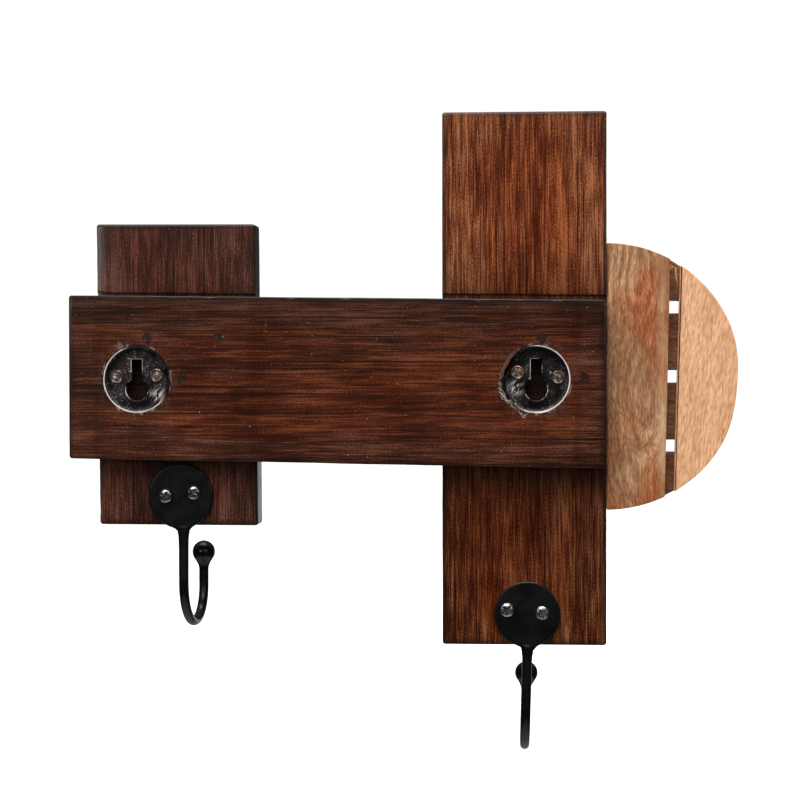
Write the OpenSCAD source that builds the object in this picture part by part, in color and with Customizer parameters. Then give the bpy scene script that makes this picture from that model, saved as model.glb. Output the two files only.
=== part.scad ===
// Wall hook rack made of boards in an aeroplane layout.
// The origin is the centre of the rail's back face, which lies against the wall.
// +Y points into the wall, -Y into the room, +Z up. +X points to the tail end.

/* [Rail] */
// Length of the rail
rail_l = 286; // [275:0.5:300]
// Height of the rail at its middle
rail_h = 88; // [84:0.5:90]
// Thickness of the rail
rail_t = 18; // [17:0.5:22]
// How much taller the rail is at its nose end than at its tail end
rail_flare = 1.5; // [0:0.1:2]
// How much lower the rail sits at its nose end than at its tail end
rail_drop = 4.1; // [0:0.1:5]

/* [Upright boards] */
// Thickness of both upright boards
board_t = 18; // [16:0.5:22]
// Centre of the tail board from the middle of the rail
tail_x = 87.5; // [84:0.1:90]
// Width of the tail board
tail_w = 86.1; // [84:0.1:90]
// How much further out the tail board's top sits than its foot
tail_lean = 1.4; // [0:0.1:3]
// How much lower the tail board's ends are at their nose side
tail_fall = 0.4; // [0:0.1:1]
// Height of the tail board
tail_h = 162.3; // [158:0.1:176]
// Height of the tail board's middle above the middle of the rail
tail_z = 3.1; // [2:0.1:4]
// Centre of the wing board from the middle of the rail
wing_x = -99.55; // [-102:0.05:-98]
// Width of the wing board
wing_w = 87.5; // [84:0.5:90]
// Height of the wing board
wing_h = 284.6; // [276:0.1:300]
// Height of the wing board's middle above the middle of the rail
wing_z = 0.8; // [0:0.1:3]
// Depth of the shallow housing that the rail sits in
housing_d = 1.5; // [1:0.1:3]
// Open strip of the tail board's housing above the rail
tail_housing_gap = 1.9; // [1:0.1:4]
// Open strip of the wing board's housing above the rail
wing_housing_gap = 2.9; // [1:0.1:4]
// Width of the eased edges of the boards
ease = 0.8; // [0.4:0.1:1.4]
// Radius of the boards' corners
corner_r = 1.4; // [0.8:0.1:2]

/* [Half round nose] */
// Radius of the half round
nose_r = 71; // [68:0.5:74]
// Height of the half round's centre above the middle of the rail
nose_z = 1.9; // [0:0.1:4]
// Flat worn on the half round's tip
nose_flat = 1.5; // [0:0.1:2]
// Thickness of the two upright battens
batten_t = 9; // [8:0.5:10]
// Thickness of the four level slats
slat_t = 8.5; // [7:0.5:9]
// Gap between neighbouring slats
slat_gap = 6.6; // [5:0.1:8]
// How far the battens' backs lie in front of the wing board's back
nose_recess = 0.5; // [0:0.1:1]
// Width of the inner batten, which butts against the wing board's edge
inner_batten_w = 32.4; // [30:0.1:33]
// Lean of the inner batten's free edge
inner_batten_lean = 1.25; // [0.5:0.01:1.4]
// Inner edge of the outer batten from the wing board's edge
outer_batten_x = 37.5; // [36:0.1:40]
// Lean of the outer batten's inner edge
outer_batten_lean = 1.6; // [0.5:0.01:2]

/* [Keyhole hangers] */
// Diameter of the hanger plates
hanger_d = 35.6; // [34:0.2:37]
// Thickness of the hanger plates
hanger_t = 1.5; // [1.2:0.1:2]
// Height of the plates' rolled rim above their flat
rim_h = 0.5; // [0.3:0.1:0.6]
// How far the plate's rim lies below the rail's back face
hanger_sink = 0.6; // [0.6:0.1:1.2]
// Diameter of the keyhole's round hole
key_hole_d = 11.9; // [10:0.1:13]
// Width of the keyhole's slot
key_slot_w = 5.8; // [5:0.1:6.5]
// Height of the slot's flat top above the plate's middle
key_slot_top = 10.8; // [9:0.1:12]
// Depth of the round hole's centre below the plate's middle
key_hole_drop = 5.4; // [5:0.1:6]
// Depth of the pocket for the wall screw's head, from the rail's back face
pocket_d = 11; // [9:0.5:13]
// Place of the tail end's hanger along the rail
tail_hanger_x = 106.6; // [104:0.1:110]
// Place of the nose end's hanger along the rail
wing_hanger_x = -106.1; // [-110:0.1:-104]
// Height of both hangers above the middle of the rail
hanger_z = 0.7; // [-2:0.1:3]
// Distance between the two nails of a hanger
nail_pitch = 21.5; // [21:0.1:22.5]
// Diameter of the nails' heads
nail_head_d = 6.5; // [5.5:0.1:7]

/* [Hooks] */
// Diameter of the hooks' screw plates
hook_plate_d = 35; // [33:0.5:37]
// Thickness of the hooks' screw plates
hook_plate_t = 2.5; // [2:0.1:3]
// Diameter of the hooks' rod
rod_d = 5.3; // [4.8:0.1:6]
// Diameter of the ball on the rod's end
ball_d = 12.6; // [11:0.1:14]
// Bend radius of the rod below the plate
stem_bend_r = 23; // [20:0.5:25]
// Bend radius of the rod below the ball
arm_bend_r = 18; // [15:0.5:20]
// Height of the ball's centre above the lowest point of the rod's centre line
ball_rise = 36.4; // [34:0.2:40]
// Place of the tail hook along the rail
tail_hook_x = 85.4; // [80:0.1:90]
// Height of the tail hook's plate
tail_hook_z = -62.3; // [-64:0.1:-61.3]
// Drop from the tail hook's plate to its lowest point
tail_hook_drop = 70; // [66:0.5:78]
// Turn of the tail hook about its rod
tail_hook_turn = 6; // [-10:0.5:10]
// Place of the wing hook along the rail
wing_hook_x = -101.2; // [-106:0.1:-96]
// Height of the wing hook's plate
wing_hook_z = -124.9; // [-127:0.1:-124.9]
// Drop from the wing hook's plate to its lowest point
wing_hook_drop = 73.5; // [66:0.5:78]
// Turn of the wing hook about its rod
wing_hook_turn = -1; // [-10:0.5:10]
// Lean of the wing hook's rod to the tail side
wing_hook_lean = 1.6; // [0:0.1:3]

/* [Hidden] */
$fn = 64;
eps = 0.01;
slip = 0.05;                                      // clearance round a fastener in its hole

stain = [0.24, 0.11, 0.07];
mango = [0.80, 0.60, 0.42];
black_metal = [0.07, 0.07, 0.08];
steel = [0.30, 0.29, 0.28];
zinc = [0.72, 0.72, 0.74];
copper_nail = [0.48, 0.33, 0.27];
filler = [0.20, 0.09, 0.06];

board_y = -(rail_t - housing_d);                  // back faces of the upright boards
wing_edge_x = wing_x - wing_w / 2;                // the wing board's nose edge
batten_y = board_y - nose_recess;                 // back faces of the battens
slat_y = batten_y - batten_t;                     // back faces of the slats
slat_h = (2 * nose_r - 3 * slat_gap) / 4;         // height of one slat at its wing end

recess_d = hanger_sink + rim_h + hanger_t;        // depth of the recess a hanger plate lies in
recess_r = hanger_d / 2 + 0.5;
plate_y = -(hanger_sink + rim_h);                 // back face of a hanger plate's flat
nail_shank_d = 2.8;
nail_shank_l = 12;
nail_head_t = 0.9;
slit_w = 0.9;                                     // narrow punched slit beside the keyhole
slit_h = 4.4;

hook_y = board_y + hook_plate_t / 2;              // middle plane of a hook plate
hook_screw_head_d = 7.4;
hook_screw_head_t = 2.3;
hook_screw_shank_d = 3.8;
hook_screw_l = 15;
hook_screw_end = hook_screw_l - hook_plate_t - board_y;   // depth of the screws' tips
neck_r = 3.9;                                     // weld flare at the top of a hook's rod
neck_l = 9;
pear_neck_l = 6.2;                                // length of the taper below the ball
pear_low = 33;                                    // angle below the ball's middle where the taper starts
pear_end = ball_d / 2 * sin(pear_low) + pear_neck_l;      // foot of the taper below the ball's centre
neck_z = -(hook_plate_d / 2 - 0.9);               // top of the rod below the plate's centre

joint_screw_d = 4;
joint_screw_head_d = 7.6;
joint_screw_head_z = 3;                           // depth of the screw heads below the rail's back
joint_screw_end = 31;
plug_d = 8;

dowel_d = 5;
dowel_l = 26;
brad_d = 1.2;
brad_l = 14;
brad_inset = 4;                                   // brads of the outer batten from its inner edge
brad_spread = 0.94;                               // heights of the brads, as a share of the slats' heights

// Places of the wood screws in the two lap joints, as [x, z]
tail_joint_at = [[100.8, 23], [62.6, 23.2], [82, 0.9]];
wing_joint_at = [[-108.7, 22.3], [-131.2, 2]];
// Screws of each hook plate, as [x, z] from the plate's centre
tail_hook_screw_at = [[8.1, 0.2], [-7.2, 2]];
wing_hook_screw_at = [[10.7, 2.4], [-8, 0.8]];
// How each hanger's pair of nails lies: [shift along the rail, height, tilt in degrees]
tail_nails = [0, 1.8, -1.8];
wing_nails = [-0.9, 2.3, 6.9];
// Second plunge of the recess cutter beside the first, as [x, z]
tail_plunge = [0.7, 0.7];
wing_plunge = [1.9, -1.7];
// How far each hook's rod stands from the middle of its plate
tail_stem_shift = -1.4;
wing_stem_shift = -0.6;
// Slit beside each keyhole, as [x, z] from the plate's centre
tail_slit_at = [-11.2, -8];
wing_slit_at = [10.6, -4.4];

// Middle height of the rail at x.
function rail_mid(x) = rail_drop * x / rail_l;

// Half height of the rail at x.
function rail_half(x) = (rail_h - rail_flare * x / rail_l) / 2;

// Four corners between x1 and x2, following the rail, raised by lift along the top.
function rail_outline(x1, x2, lift) = [
    [x1, rail_mid(x1) - rail_half(x1)],
    [x2, rail_mid(x2) - rail_half(x2)],
    [x2, rail_mid(x2) + rail_half(x2) + lift],
    [x1, rail_mid(x1) + rail_half(x1) + lift]
];

// Corners of an upright board whose top leans out by lean, with ends that fall towards the nose.
function upright_outline(x, z, w, h, lean, fall) = [
    [x - (w + lean) / 2, z - (h + fall) / 2],
    [x + (w - lean) / 2, z - (h - fall) / 2],
    [x + (w + lean) / 2, z + (h + fall) / 2],
    [x - (w - lean) / 2, z + (h - fall) / 2]
];

// Places of a hanger's two nails, as [x, z] from the plate's centre.
function nail_places(n) = [
    for (side = [-1, 1])
        [n[0] + side * nail_pitch / 2 * cos(n[2]), n[1] + side * nail_pitch / 2 * sin(n[2])]
];

// Extrudes an outline drawn in X and Z from y forwards by t.
module slab(t, y) {
    translate([0, y, 0])
        rotate([90, 0, 0])
            linear_extrude(t)
                children();
}

// A drilled hole or a round bar along Y, from y forwards by l.
module drill(at, r, y, l) {
    translate([at[0], y, at[1]])
        rotate([90, 0, 0])
            cylinder(r = r, h = l);
}

// A board with rounded corners and eased edges on both faces.
module eased_board(outline, t, y) {
    hull() {
        slab(t, y)
            offset(delta = -ease)
                polygon(outline);
        slab(t - 2 * ease, y - ease)
            offset(r = corner_r, $fn = 24)
                offset(delta = -corner_r)
                    polygon(outline);
    }
}

// Pocket behind a keyhole for the head of the wall screw.
module head_pocket(at) {
    pocket_r = key_hole_d / 2 + 1.6;
    low = at[1] - key_hole_drop;
    high = at[1] + key_slot_top - pocket_r / 2;
    y = -recess_d + eps;
    l = pocket_d - recess_d + eps;
    drill([at[0], low], pocket_r, y, l);
    drill([at[0], high], pocket_r, y, l);
    slab(l, y)
        translate([at[0] - pocket_r, low])
            square([2 * pocket_r, high - low]);
}

// Recess, pocket and nail holes for one hanger; plunge shifts the cutter's second plunge.
module hanger_cut(at, nails, plunge) {
    drill(at, recess_r, eps, recess_d + eps);
    drill(at + plunge, recess_r, eps, recess_d + eps);
    head_pocket(at);
    for (p = nail_places(nails))
        drill(at + p, nail_shank_d / 2 + slip, 0, recess_d + nail_shank_l + 1);
}

module rail_board() {
    color(stain)
        difference() {
            eased_board(rail_outline(-rail_l / 2, rail_l / 2, 0), rail_t, 0);
            hanger_cut([tail_hanger_x, hanger_z], tail_nails, tail_plunge);
            hanger_cut([wing_hanger_x, hanger_z], wing_nails, wing_plunge);
            for (p = concat(tail_joint_at, wing_joint_at)) {
                drill(p, joint_screw_d / 2 + slip, eps, rail_t + 1);
                drill(p, plug_d / 2, eps, joint_screw_head_z + eps);
                drill(p, joint_screw_head_d / 2 + slip, 0, joint_screw_head_z + 2.4);
            }
        }
}

// Housing, screw holes and hook screw holes that both upright boards have.
module upright_cuts(x, w, gap, joint_at, hook_at, hook_screw_at) {
    slab(housing_d + 1, board_y + 1)
        polygon(rail_outline(x - w, x + w, gap));
    for (p = joint_at)
        drill(p, joint_screw_d / 2 + slip, 0, joint_screw_end + 0.5);
    for (p = hook_screw_at)
        drill(hook_at + p, hook_screw_shank_d / 2 + slip, 0, hook_screw_end + 0.5);
}

module tail_board() {
    color(stain)
        difference() {
            eased_board(upright_outline(tail_x, tail_z, tail_w, tail_h, tail_lean, tail_fall),
                        board_t, board_y);
            upright_cuts(tail_x, tail_w, tail_housing_gap, tail_joint_at,
                         [tail_hook_x, tail_hook_z], tail_hook_screw_at);
        }
}

module wing_board() {
    color(stain)
        difference() {
            eased_board(upright_outline(wing_x, wing_z, wing_w, wing_h, 0, 0), board_t, board_y);
            upright_cuts(wing_x, wing_w, wing_housing_gap, wing_joint_at,
                         [wing_hook_x, wing_hook_z], wing_hook_screw_at);
            nose_dowel_bars(dowel_d / 2 + slip, dowel_l + 1);
        }
}

// The half disc that all the nose pieces are sawn to.
module half_disc() {
    translate([wing_edge_x, nose_z])
        intersection() {
            circle(r = nose_r, $fn = 160);
            translate([-(nose_r - nose_flat), -nose_r])
                square([nose_r - nose_flat, 2 * nose_r]);
        }
}

// One upright batten: the half disc between two leaning edges, at a and b from the wing's edge.
module batten(a, b, lean) {
    color(mango)
        difference() {
            slab(batten_t, batten_y)
                intersection() {
                    half_disc();
                    translate([wing_edge_x, nose_z])
                        rotate(lean)
                            translate([-b, -2 * nose_r])
                                square([b - a, 4 * nose_r]);
                }
            nose_dowel_bars(dowel_d / 2 + slip, dowel_l + 1);
            brad_bars(brad_d / 2 + slip, brad_l + 0.5);
        }
}

module nose_inner_batten() {
    batten(-5, inner_batten_w, inner_batten_lean);
}

module nose_outer_batten() {
    batten(outer_batten_x, nose_r + 5, outer_batten_lean);
}

// One level slat of the nose, counted from 0 at the top.
module slat(i) {
    top = nose_z + nose_r - i * (slat_h + slat_gap);
    color(mango)
        difference() {
            slab(slat_t, slat_y)
                intersection() {
                    half_disc();
                    translate([wing_edge_x - nose_r, top - slat_h])
                        square([nose_r, slat_h]);
                }
            brad_bars(brad_d / 2 + slip, brad_l + 0.5);
        }
}

module nose_top_slat() {
    slat(0);
}

module nose_upper_slat() {
    slat(1);
}

module nose_lower_slat() {
    slat(2);
}

module nose_bottom_slat() {
    slat(3);
}

// Two bars along X across the wing board's edge, in the inner batten's thickness.
module nose_dowel_bars(r, l) {
    for (z = [-1, 1])
        translate([wing_edge_x - l / 2, batten_y - batten_t / 2, nose_z + z * nose_r / 2])
            rotate([0, 90, 0])
                cylinder(r = r, h = l, $fn = 32);
}

module nose_dowels() {
    color(mango)
        nose_dowel_bars(dowel_d / 2, dowel_l);
}

// Bars along Y where each slat crosses each batten, from the slats' fronts backwards by l.
module brad_bars(r, l) {
    front = slat_y - slat_t + 0.5;
    for (i = [0:3])
        for (x = [inner_batten_w / 2, outer_batten_x + brad_inset])
            translate([wing_edge_x - x, front, nose_z + (1.5 - i) * (slat_h + slat_gap) * brad_spread])
                rotate([-90, 0, 0])
                    cylinder(r = r, h = l, $fn = 20);
}

module nose_brads() {
    color(steel)
        brad_bars(brad_d / 2, brad_l);
}

// A pressed keyhole hanger plate with a rolled rim, its centre at at.
module hanger_plate(at, nails, slit_at) {
    r = hanger_d / 2;
    roll = rim_h + 0.35;                          // radius of the rolled rim
    color(steel)
        difference() {
            translate([at[0], plate_y - hanger_t, at[1]])
                rotate([-90, 0, 0])
                    rotate_extrude() {
                        square([r - 0.2, hanger_t]);
                        translate([r - roll, hanger_t + rim_h - roll])
                            circle(r = roll, $fn = 24);
                    }
            drill([at[0], at[1] - key_hole_drop], key_hole_d / 2, 1, rail_t);
            slab(rail_t, 1)
                translate([at[0] - key_slot_w / 2, at[1] - key_hole_drop])
                    square([key_slot_w, key_slot_top + key_hole_drop]);
            slab(rail_t, 1)
                translate([at[0] + slit_at[0] - slit_w / 2, at[1] + slit_at[1] - slit_h / 2])
                    square([slit_w, slit_h]);
            for (p = nail_places(nails))
                drill(at + p, nail_shank_d / 2 + 2 * slip, 1, rail_t);
        }
}

module tail_hanger_plate() {
    hanger_plate([tail_hanger_x, hanger_z], tail_nails, tail_slit_at);
}

module wing_hanger_plate() {
    hanger_plate([wing_hanger_x, hanger_z], wing_nails, wing_slit_at);
}

// A flat-headed nail driven through a hanger plate at at.
module hanger_nail(at) {
    r = nail_head_d / 2;
    translate([at[0], plate_y, at[1]])
        rotate([-90, 0, 0]) {
            rotate_extrude()
                polygon([
                    [0, 0], [r - 0.2, 0], [r, 0.3], [r, nail_head_t - 0.35],
                    [r - 0.45, nail_head_t], [0, nail_head_t + 0.12]
                ]);
            translate([0, 0, -nail_shank_l])
                cylinder(r = nail_shank_d / 2, h = nail_shank_l + eps);
        }
}

module tail_hanger_nails() {
    color(copper_nail)
        for (p = nail_places(tail_nails))
            hanger_nail([tail_hanger_x, hanger_z] + p);
}

module wing_hanger_nails() {
    color(copper_nail)
        for (p = nail_places(wing_nails))
            hanger_nail([wing_hanger_x, hanger_z] + p);
}

// A hook's round plate with eased edges and its screw holes.
module hook_plate(at, screw_at) {
    r = hook_plate_d / 2;
    round_r = 0.7;
    color(black_metal)
        difference() {
            translate([at[0], board_y, at[1]])
                rotate([-90, 0, 0])
                    rotate_extrude($fn = 96) {
                        square([r, hook_plate_t - round_r]);
                        square([r - round_r, hook_plate_t]);
                        translate([r - round_r, hook_plate_t - round_r])
                            circle(r = round_r, $fn = 24);
                    }
            for (p = screw_at)
                drill(at + p, hook_screw_shank_d / 2 + 0.25, 0, rail_t);
        }
}

module tail_hook_plate() {
    hook_plate([tail_hook_x, tail_hook_z], tail_hook_screw_at);
}

module wing_hook_plate() {
    hook_plate([wing_hook_x, wing_hook_z], wing_hook_screw_at);
}

// Profile of the pear-shaped end, from its neck up to its top, as [radius, height].
function pear_profile() =
    let (ball_r = ball_d / 2, rod_r = rod_d / 2)
    concat(
        [[0, -pear_end]],
        [for (i = [0:7])
            [rod_r + (ball_r * cos(pear_low) - rod_r) * (1 - cos(i / 8 * 90)),
             -pear_end + i / 8 * pear_neck_l]],
        [for (i = [0:13])
            let (a = -pear_low + i / 14 * (90 + pear_low))
            [ball_r * cos(a), ball_r * sin(a)]],
        [[0, ball_r]]
    );

// A J rod with its plate's centre at the origin, its stem down -Z and its hook towards -Y.
module hook_rod(drop) {
    r = rod_d / 2;
    stem_foot = -drop + stem_bend_r;
    arm_foot = -drop + arm_bend_r;
    ball_z = -drop + ball_rise;
    reach = stem_bend_r + arm_bend_r;
    translate([0, 0, stem_foot])
        cylinder(r = r, h = neck_z - stem_foot, $fn = 32);
    translate([0, 0, neck_z])
        rotate_extrude($fn = 32)
            polygon(concat(
                [[0, 0]],
                [for (i = [0:10]) [r + (neck_r - r) * pow(1 - i / 10, 2.2), -neck_l * i / 10]],
                [[0, -neck_l]]
            ));
    translate([0, -stem_bend_r, stem_foot])
        rotate([0, 90, 0])
            rotate_extrude(angle = 90, $fn = 96)
                translate([stem_bend_r, 0])
                    circle(r = r, $fn = 32);
    translate([0, -stem_bend_r, arm_foot])
        rotate([0, 90, 0])
            rotate([0, 0, -90])
                rotate_extrude(angle = 90, $fn = 96)
                    translate([arm_bend_r, 0])
                        circle(r = r, $fn = 32);
    translate([0, -reach, arm_foot])
        cylinder(r = r, h = ball_z - pear_end - arm_foot + 1, $fn = 32);
    translate([0, -reach, ball_z])
        rotate_extrude($fn = 48)
            polygon(pear_profile());
}

// The space that a hook's round plate takes up.
module plate_space(at) {
    drill(at, hook_plate_d / 2 + eps, board_y + hook_plate_t + eps, hook_plate_t + 2 * eps);
}

module tail_hook_rod() {
    color(black_metal)
        difference() {
            translate([tail_hook_x + tail_stem_shift, hook_y, tail_hook_z])
                rotate([0, 0, -tail_hook_turn])
                    hook_rod(tail_hook_drop);
            plate_space([tail_hook_x, tail_hook_z]);
        }
}

module wing_hook_rod() {
    color(black_metal)
        difference() {
            translate([wing_hook_x + wing_stem_shift, hook_y, wing_hook_z])
                rotate([0, -wing_hook_lean, 0])
                    rotate([0, 0, -wing_hook_turn])
                        hook_rod(wing_hook_drop);
            plate_space([wing_hook_x, wing_hook_z]);
        }
}

// A pan-head cross-recess wood screw in a hook plate, turned by turn.
module hook_screw(at, turn) {
    r = hook_screw_head_d / 2;
    t = hook_screw_head_t;
    translate([at[0], board_y + hook_plate_t, at[1]])
        rotate([-90, 0, 0]) {
            difference() {
                rotate_extrude()
                    polygon([
                        [0, 0], [r, 0], [r, 0.35 * t], [0.93 * r, 0.62 * t],
                        [0.75 * r, 0.85 * t], [0.45 * r, 0.97 * t], [0, t]
                    ]);
                for (a = [0, 90])
                    rotate([0, 0, turn + a])
                        translate([-0.55 * r, -0.5, 0.45 * t])
                            cube([1.1 * r, 1, t]);
            }
            translate([0, 0, -hook_screw_l])
                cylinder(r1 = 0.4, r2 = hook_screw_shank_d / 2, h = 4);
            translate([0, 0, -hook_screw_l + 4])
                cylinder(r = hook_screw_shank_d / 2, h = hook_screw_l - 4 + eps);
        }
}

module tail_hook_screws() {
    color(zinc) {
        hook_screw([tail_hook_x, tail_hook_z] + tail_hook_screw_at[0], 25);
        hook_screw([tail_hook_x, tail_hook_z] + tail_hook_screw_at[1], 38);
    }
}

module wing_hook_screws() {
    color(zinc) {
        hook_screw([wing_hook_x, wing_hook_z] + wing_hook_screw_at[0], 40);
        hook_screw([wing_hook_x, wing_hook_z] + wing_hook_screw_at[1], 50);
    }
}

// Countersunk wood screws sunk into the rail and driven into an upright board.
module joint_screws(places) {
    color(steel)
        for (p = places) {
            drill(p, joint_screw_d / 2, -joint_screw_head_z - 2, joint_screw_end - joint_screw_head_z - 2);
            drill(p, joint_screw_head_d / 2, -joint_screw_head_z, 2.4);
        }
}

module tail_joint_screws() {
    joint_screws(tail_joint_at);
}

module wing_joint_screws() {
    joint_screws(wing_joint_at);
}

// Filler over the sunk screw heads, flush with the rail's back face.
module filler_plugs(places) {
    color(filler)
        for (p = places)
            drill(p, plug_d / 2 - slip, 0, joint_screw_head_z);
}

module tail_filler_plugs() {
    filler_plugs(tail_joint_at);
}

module wing_filler_plugs() {
    filler_plugs(wing_joint_at);
}

rail_board();
tail_board();
wing_board();
nose_inner_batten();
nose_outer_batten();
nose_top_slat();
nose_upper_slat();
nose_lower_slat();
nose_bottom_slat();
tail_hanger_plate();
wing_hanger_plate();
tail_hanger_nails();
wing_hanger_nails();
tail_hook_plate();
wing_hook_plate();
tail_hook_rod();
wing_hook_rod();
tail_hook_screws();
wing_hook_screws();
tail_joint_screws();
wing_joint_screws();
tail_filler_plugs();
wing_filler_plugs();
nose_dowels();
nose_brads();
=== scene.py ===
"""Wall hook rack: three stained boards, a slatted half round nose, two ball-tipped hooks and two keyhole
hangers.

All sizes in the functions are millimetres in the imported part's own frame: +Y into the wall, +Z up, +X to
the tail end.
"""

import math
from functools import partial

import bmesh
import bpy
import numpy as np
from bpy.props import FloatProperty, FloatVectorProperty, PointerProperty
from mathutils import Matrix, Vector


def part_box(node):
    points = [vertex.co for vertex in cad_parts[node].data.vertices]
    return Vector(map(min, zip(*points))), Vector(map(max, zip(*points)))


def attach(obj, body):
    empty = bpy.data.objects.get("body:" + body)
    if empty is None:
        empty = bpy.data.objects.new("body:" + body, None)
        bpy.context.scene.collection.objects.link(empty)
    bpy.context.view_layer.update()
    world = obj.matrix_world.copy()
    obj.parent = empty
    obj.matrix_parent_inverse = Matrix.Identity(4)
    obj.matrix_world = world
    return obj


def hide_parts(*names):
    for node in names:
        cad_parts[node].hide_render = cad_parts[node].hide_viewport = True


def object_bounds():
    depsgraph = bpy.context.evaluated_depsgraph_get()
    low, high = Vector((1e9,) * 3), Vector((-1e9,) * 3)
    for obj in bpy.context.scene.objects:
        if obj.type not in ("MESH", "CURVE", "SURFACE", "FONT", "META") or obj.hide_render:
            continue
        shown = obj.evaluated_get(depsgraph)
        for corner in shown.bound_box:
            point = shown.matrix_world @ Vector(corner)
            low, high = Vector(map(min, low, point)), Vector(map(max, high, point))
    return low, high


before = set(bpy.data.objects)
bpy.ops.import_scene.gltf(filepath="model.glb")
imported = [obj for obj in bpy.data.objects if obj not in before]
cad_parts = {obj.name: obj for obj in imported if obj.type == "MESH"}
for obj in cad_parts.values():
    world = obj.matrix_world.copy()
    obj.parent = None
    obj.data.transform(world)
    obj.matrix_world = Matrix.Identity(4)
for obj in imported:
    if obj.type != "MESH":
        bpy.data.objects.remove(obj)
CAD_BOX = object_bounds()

bl_info = {
    "name": "Wall Hook Rack",
    "version": (1, 0, 0),
    "blender": (4, 5, 0),
    "location": "View3D > Sidebar > Rack",
    "description": "Builds the boards, nose, hooks and hangers of a wall hook rack around its packed frame",
    "category": "Object",
}

MM = 0.001
TAU = 2 * math.pi
# Moves of a cutter, in millimetres, that are tried in turn until a cut is clean
NUDGES = (0.0, 0.011, -0.017, 0.029, -0.037)


# ---------------------------------------------------------------- settings


def length(name, description, default):
    """A size property given in millimetres and kept in metres."""
    return FloatProperty(
        name=name, description=description, default=default * MM, unit="LENGTH", subtype="DISTANCE"
    )


def share(name, description, default):
    """A property between nothing and all."""
    return FloatProperty(
        name=name, description=description, default=default, min=0.0, max=1.0, subtype="FACTOR"
    )


def colour(name, description, default):
    """A colour property, given as screen values from 0 to 255."""
    return FloatVectorProperty(
        name=name,
        description=description,
        default=screen(*default)[:3],
        size=3,
        min=0.0,
        max=1.0,
        subtype="COLOR",
    )


def screen(*values):
    """A linear colour from three screen values of 0 to 255."""
    v = np.array(values, float) / 255
    v = np.where(v <= 0.04045, v / 12.92, ((v + 0.055) / 1.055) ** 2.4)
    return (*(float(x) for x in v), 1.0)


class BoardSettings(bpy.types.PropertyGroup):
    """Sizes and finish of the rail and the two upright boards."""

    arris: length("Arris", "Radius that the long edges are sanded to", 0.5)
    corner: length("Corner", "Radius of the boards' corners", 1.5)
    top_fall: length("Top fall", "How much lower the rail's top edge is at the nose end", 3.35)
    foot_fall: length("Foot fall", "How much lower the rail's bottom edge is at the nose end", 4.85)
    lean: length("Lean", "How much further out the tail board's top sits than its foot", 1.4)
    fall: length("Fall", "How much lower the tail board's ends are at their nose side", 0.4)
    housing: length("Housing", "Depth of the housings that the rail sits in", 1.5)
    tail_gap: length("Tail gap", "Open strip of the tail board's housing above the rail", 1.9)
    wing_gap: length("Wing gap", "Open strip of the wing board's housing above the rail", 2.9)
    roughness: share("Roughness", "Roughness of the stained wood under its lacquer", 0.42)
    lacquer: share("Lacquer", "How much lacquer lies over the stain", 0.35)


class NoseSettings(bpy.types.PropertyGroup):
    """Sizes and colours of the half round nose."""

    radius: length("Radius", "Radius of the half round", 71.0)
    worn: length("Worn", "Depth worn off the tip of the half round", 1.8)
    arris: length("Arris", "Radius worn on the edges of battens and slats", 0.35)


class HangerSettings(bpy.types.PropertyGroup):
    """Sizes and colours of the keyhole hangers and their nails."""

    hole: length("Hole", "Radius of the keyhole's round hole", 5.95)
    hole_drop: length("Hole drop", "Depth of the round hole's centre below the plate's middle", 5.4)
    slot: length("Slot", "Half width of the keyhole's slot", 2.9)
    slot_top: length("Slot top", "Height of the slot's end above the plate's middle", 10.8)
    pocket: length("Pocket", "Depth of the pocket behind the keyhole from the rail's back", 11.0)
    steel: colour("Steel", "Colour of the tarnished hanger steel", (36, 32, 32))
    nail: colour("Nails", "Colour of the coppery nail heads", (122, 88, 74))


class HookSettings(bpy.types.PropertyGroup):
    """Sizes and colours of the two hooks."""

    rod: length("Rod", "Radius of the hooks' rod", 2.65)
    ball: length("Ball", "Radius of the ball on the rod's end", 6.3)
    stem_bend: length("Stem bend", "Bend radius of the rod below the plate", 23.0)
    arm_bend: length("Arm bend", "Bend radius of the rod below the ball", 18.0)
    ball_rise: length(
        "Ball rise", "Height of the ball's centre above the lowest point of the rod's centre line", 36.4
    )
    black: colour("Black", "Colour of the hooks' coating", (4, 4, 5))
    zinc: colour("Zinc", "Colour of the screws", (176, 176, 178))


class StageSettings(bpy.types.PropertyGroup):
    """Light, floor and camera."""

    lens: length("Lens", "Focal length of the camera", 99.0)
    floor_drop: length("Floor drop", "How far the floor lies below the lowest hook", 55.0)
    key_power: FloatProperty(
        name="Key light", description="Power of the high front softbox", default=11.3, unit="POWER"
    )
    side_power: FloatProperty(
        name="Side lights", description="Power of each small side lamp", default=1.8, unit="POWER"
    )
    room_power: FloatProperty(
        name="Room light", description="Power of the softbox on the room side", default=16.0, unit="POWER"
    )
    sky_strength: FloatProperty(
        name="Skylight", description="Strength of the wide light from above", default=4.4
    )
    floor_colour: colour("Floor", "Colour of the floor", (244, 244, 244))


SETTINGS = {
    "rack_boards": BoardSettings,
    "rack_nose": NoseSettings,
    "rack_hangers": HangerSettings,
    "rack_hooks": HookSettings,
    "rack_stage": StageSettings,
}


def sizes(group):
    """A group's sizes in millimetres, and its other settings as they are, by name."""
    settings = getattr(bpy.context.scene, group)
    found = {}
    for name in SETTINGS[group].__annotations__:
        value = getattr(settings, name)
        rule = settings.bl_rna.properties[name]
        if rule.unit == "LENGTH":
            value = value / MM
        elif rule.is_array:
            value = (*value, 1.0)
        found[name] = value
    return found


def box(node):
    """A CAD node's lowest and highest corner in millimetres."""
    low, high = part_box(node)
    return np.array(low) / MM, np.array(high) / MM


def middle(node):
    """The middle of a CAD node's box, as (x, z) in millimetres."""
    low, high = box(node)
    return ((low + high) / 2)[[0, 2]]


# ---------------------------------------------------------------- surfaces


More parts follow.
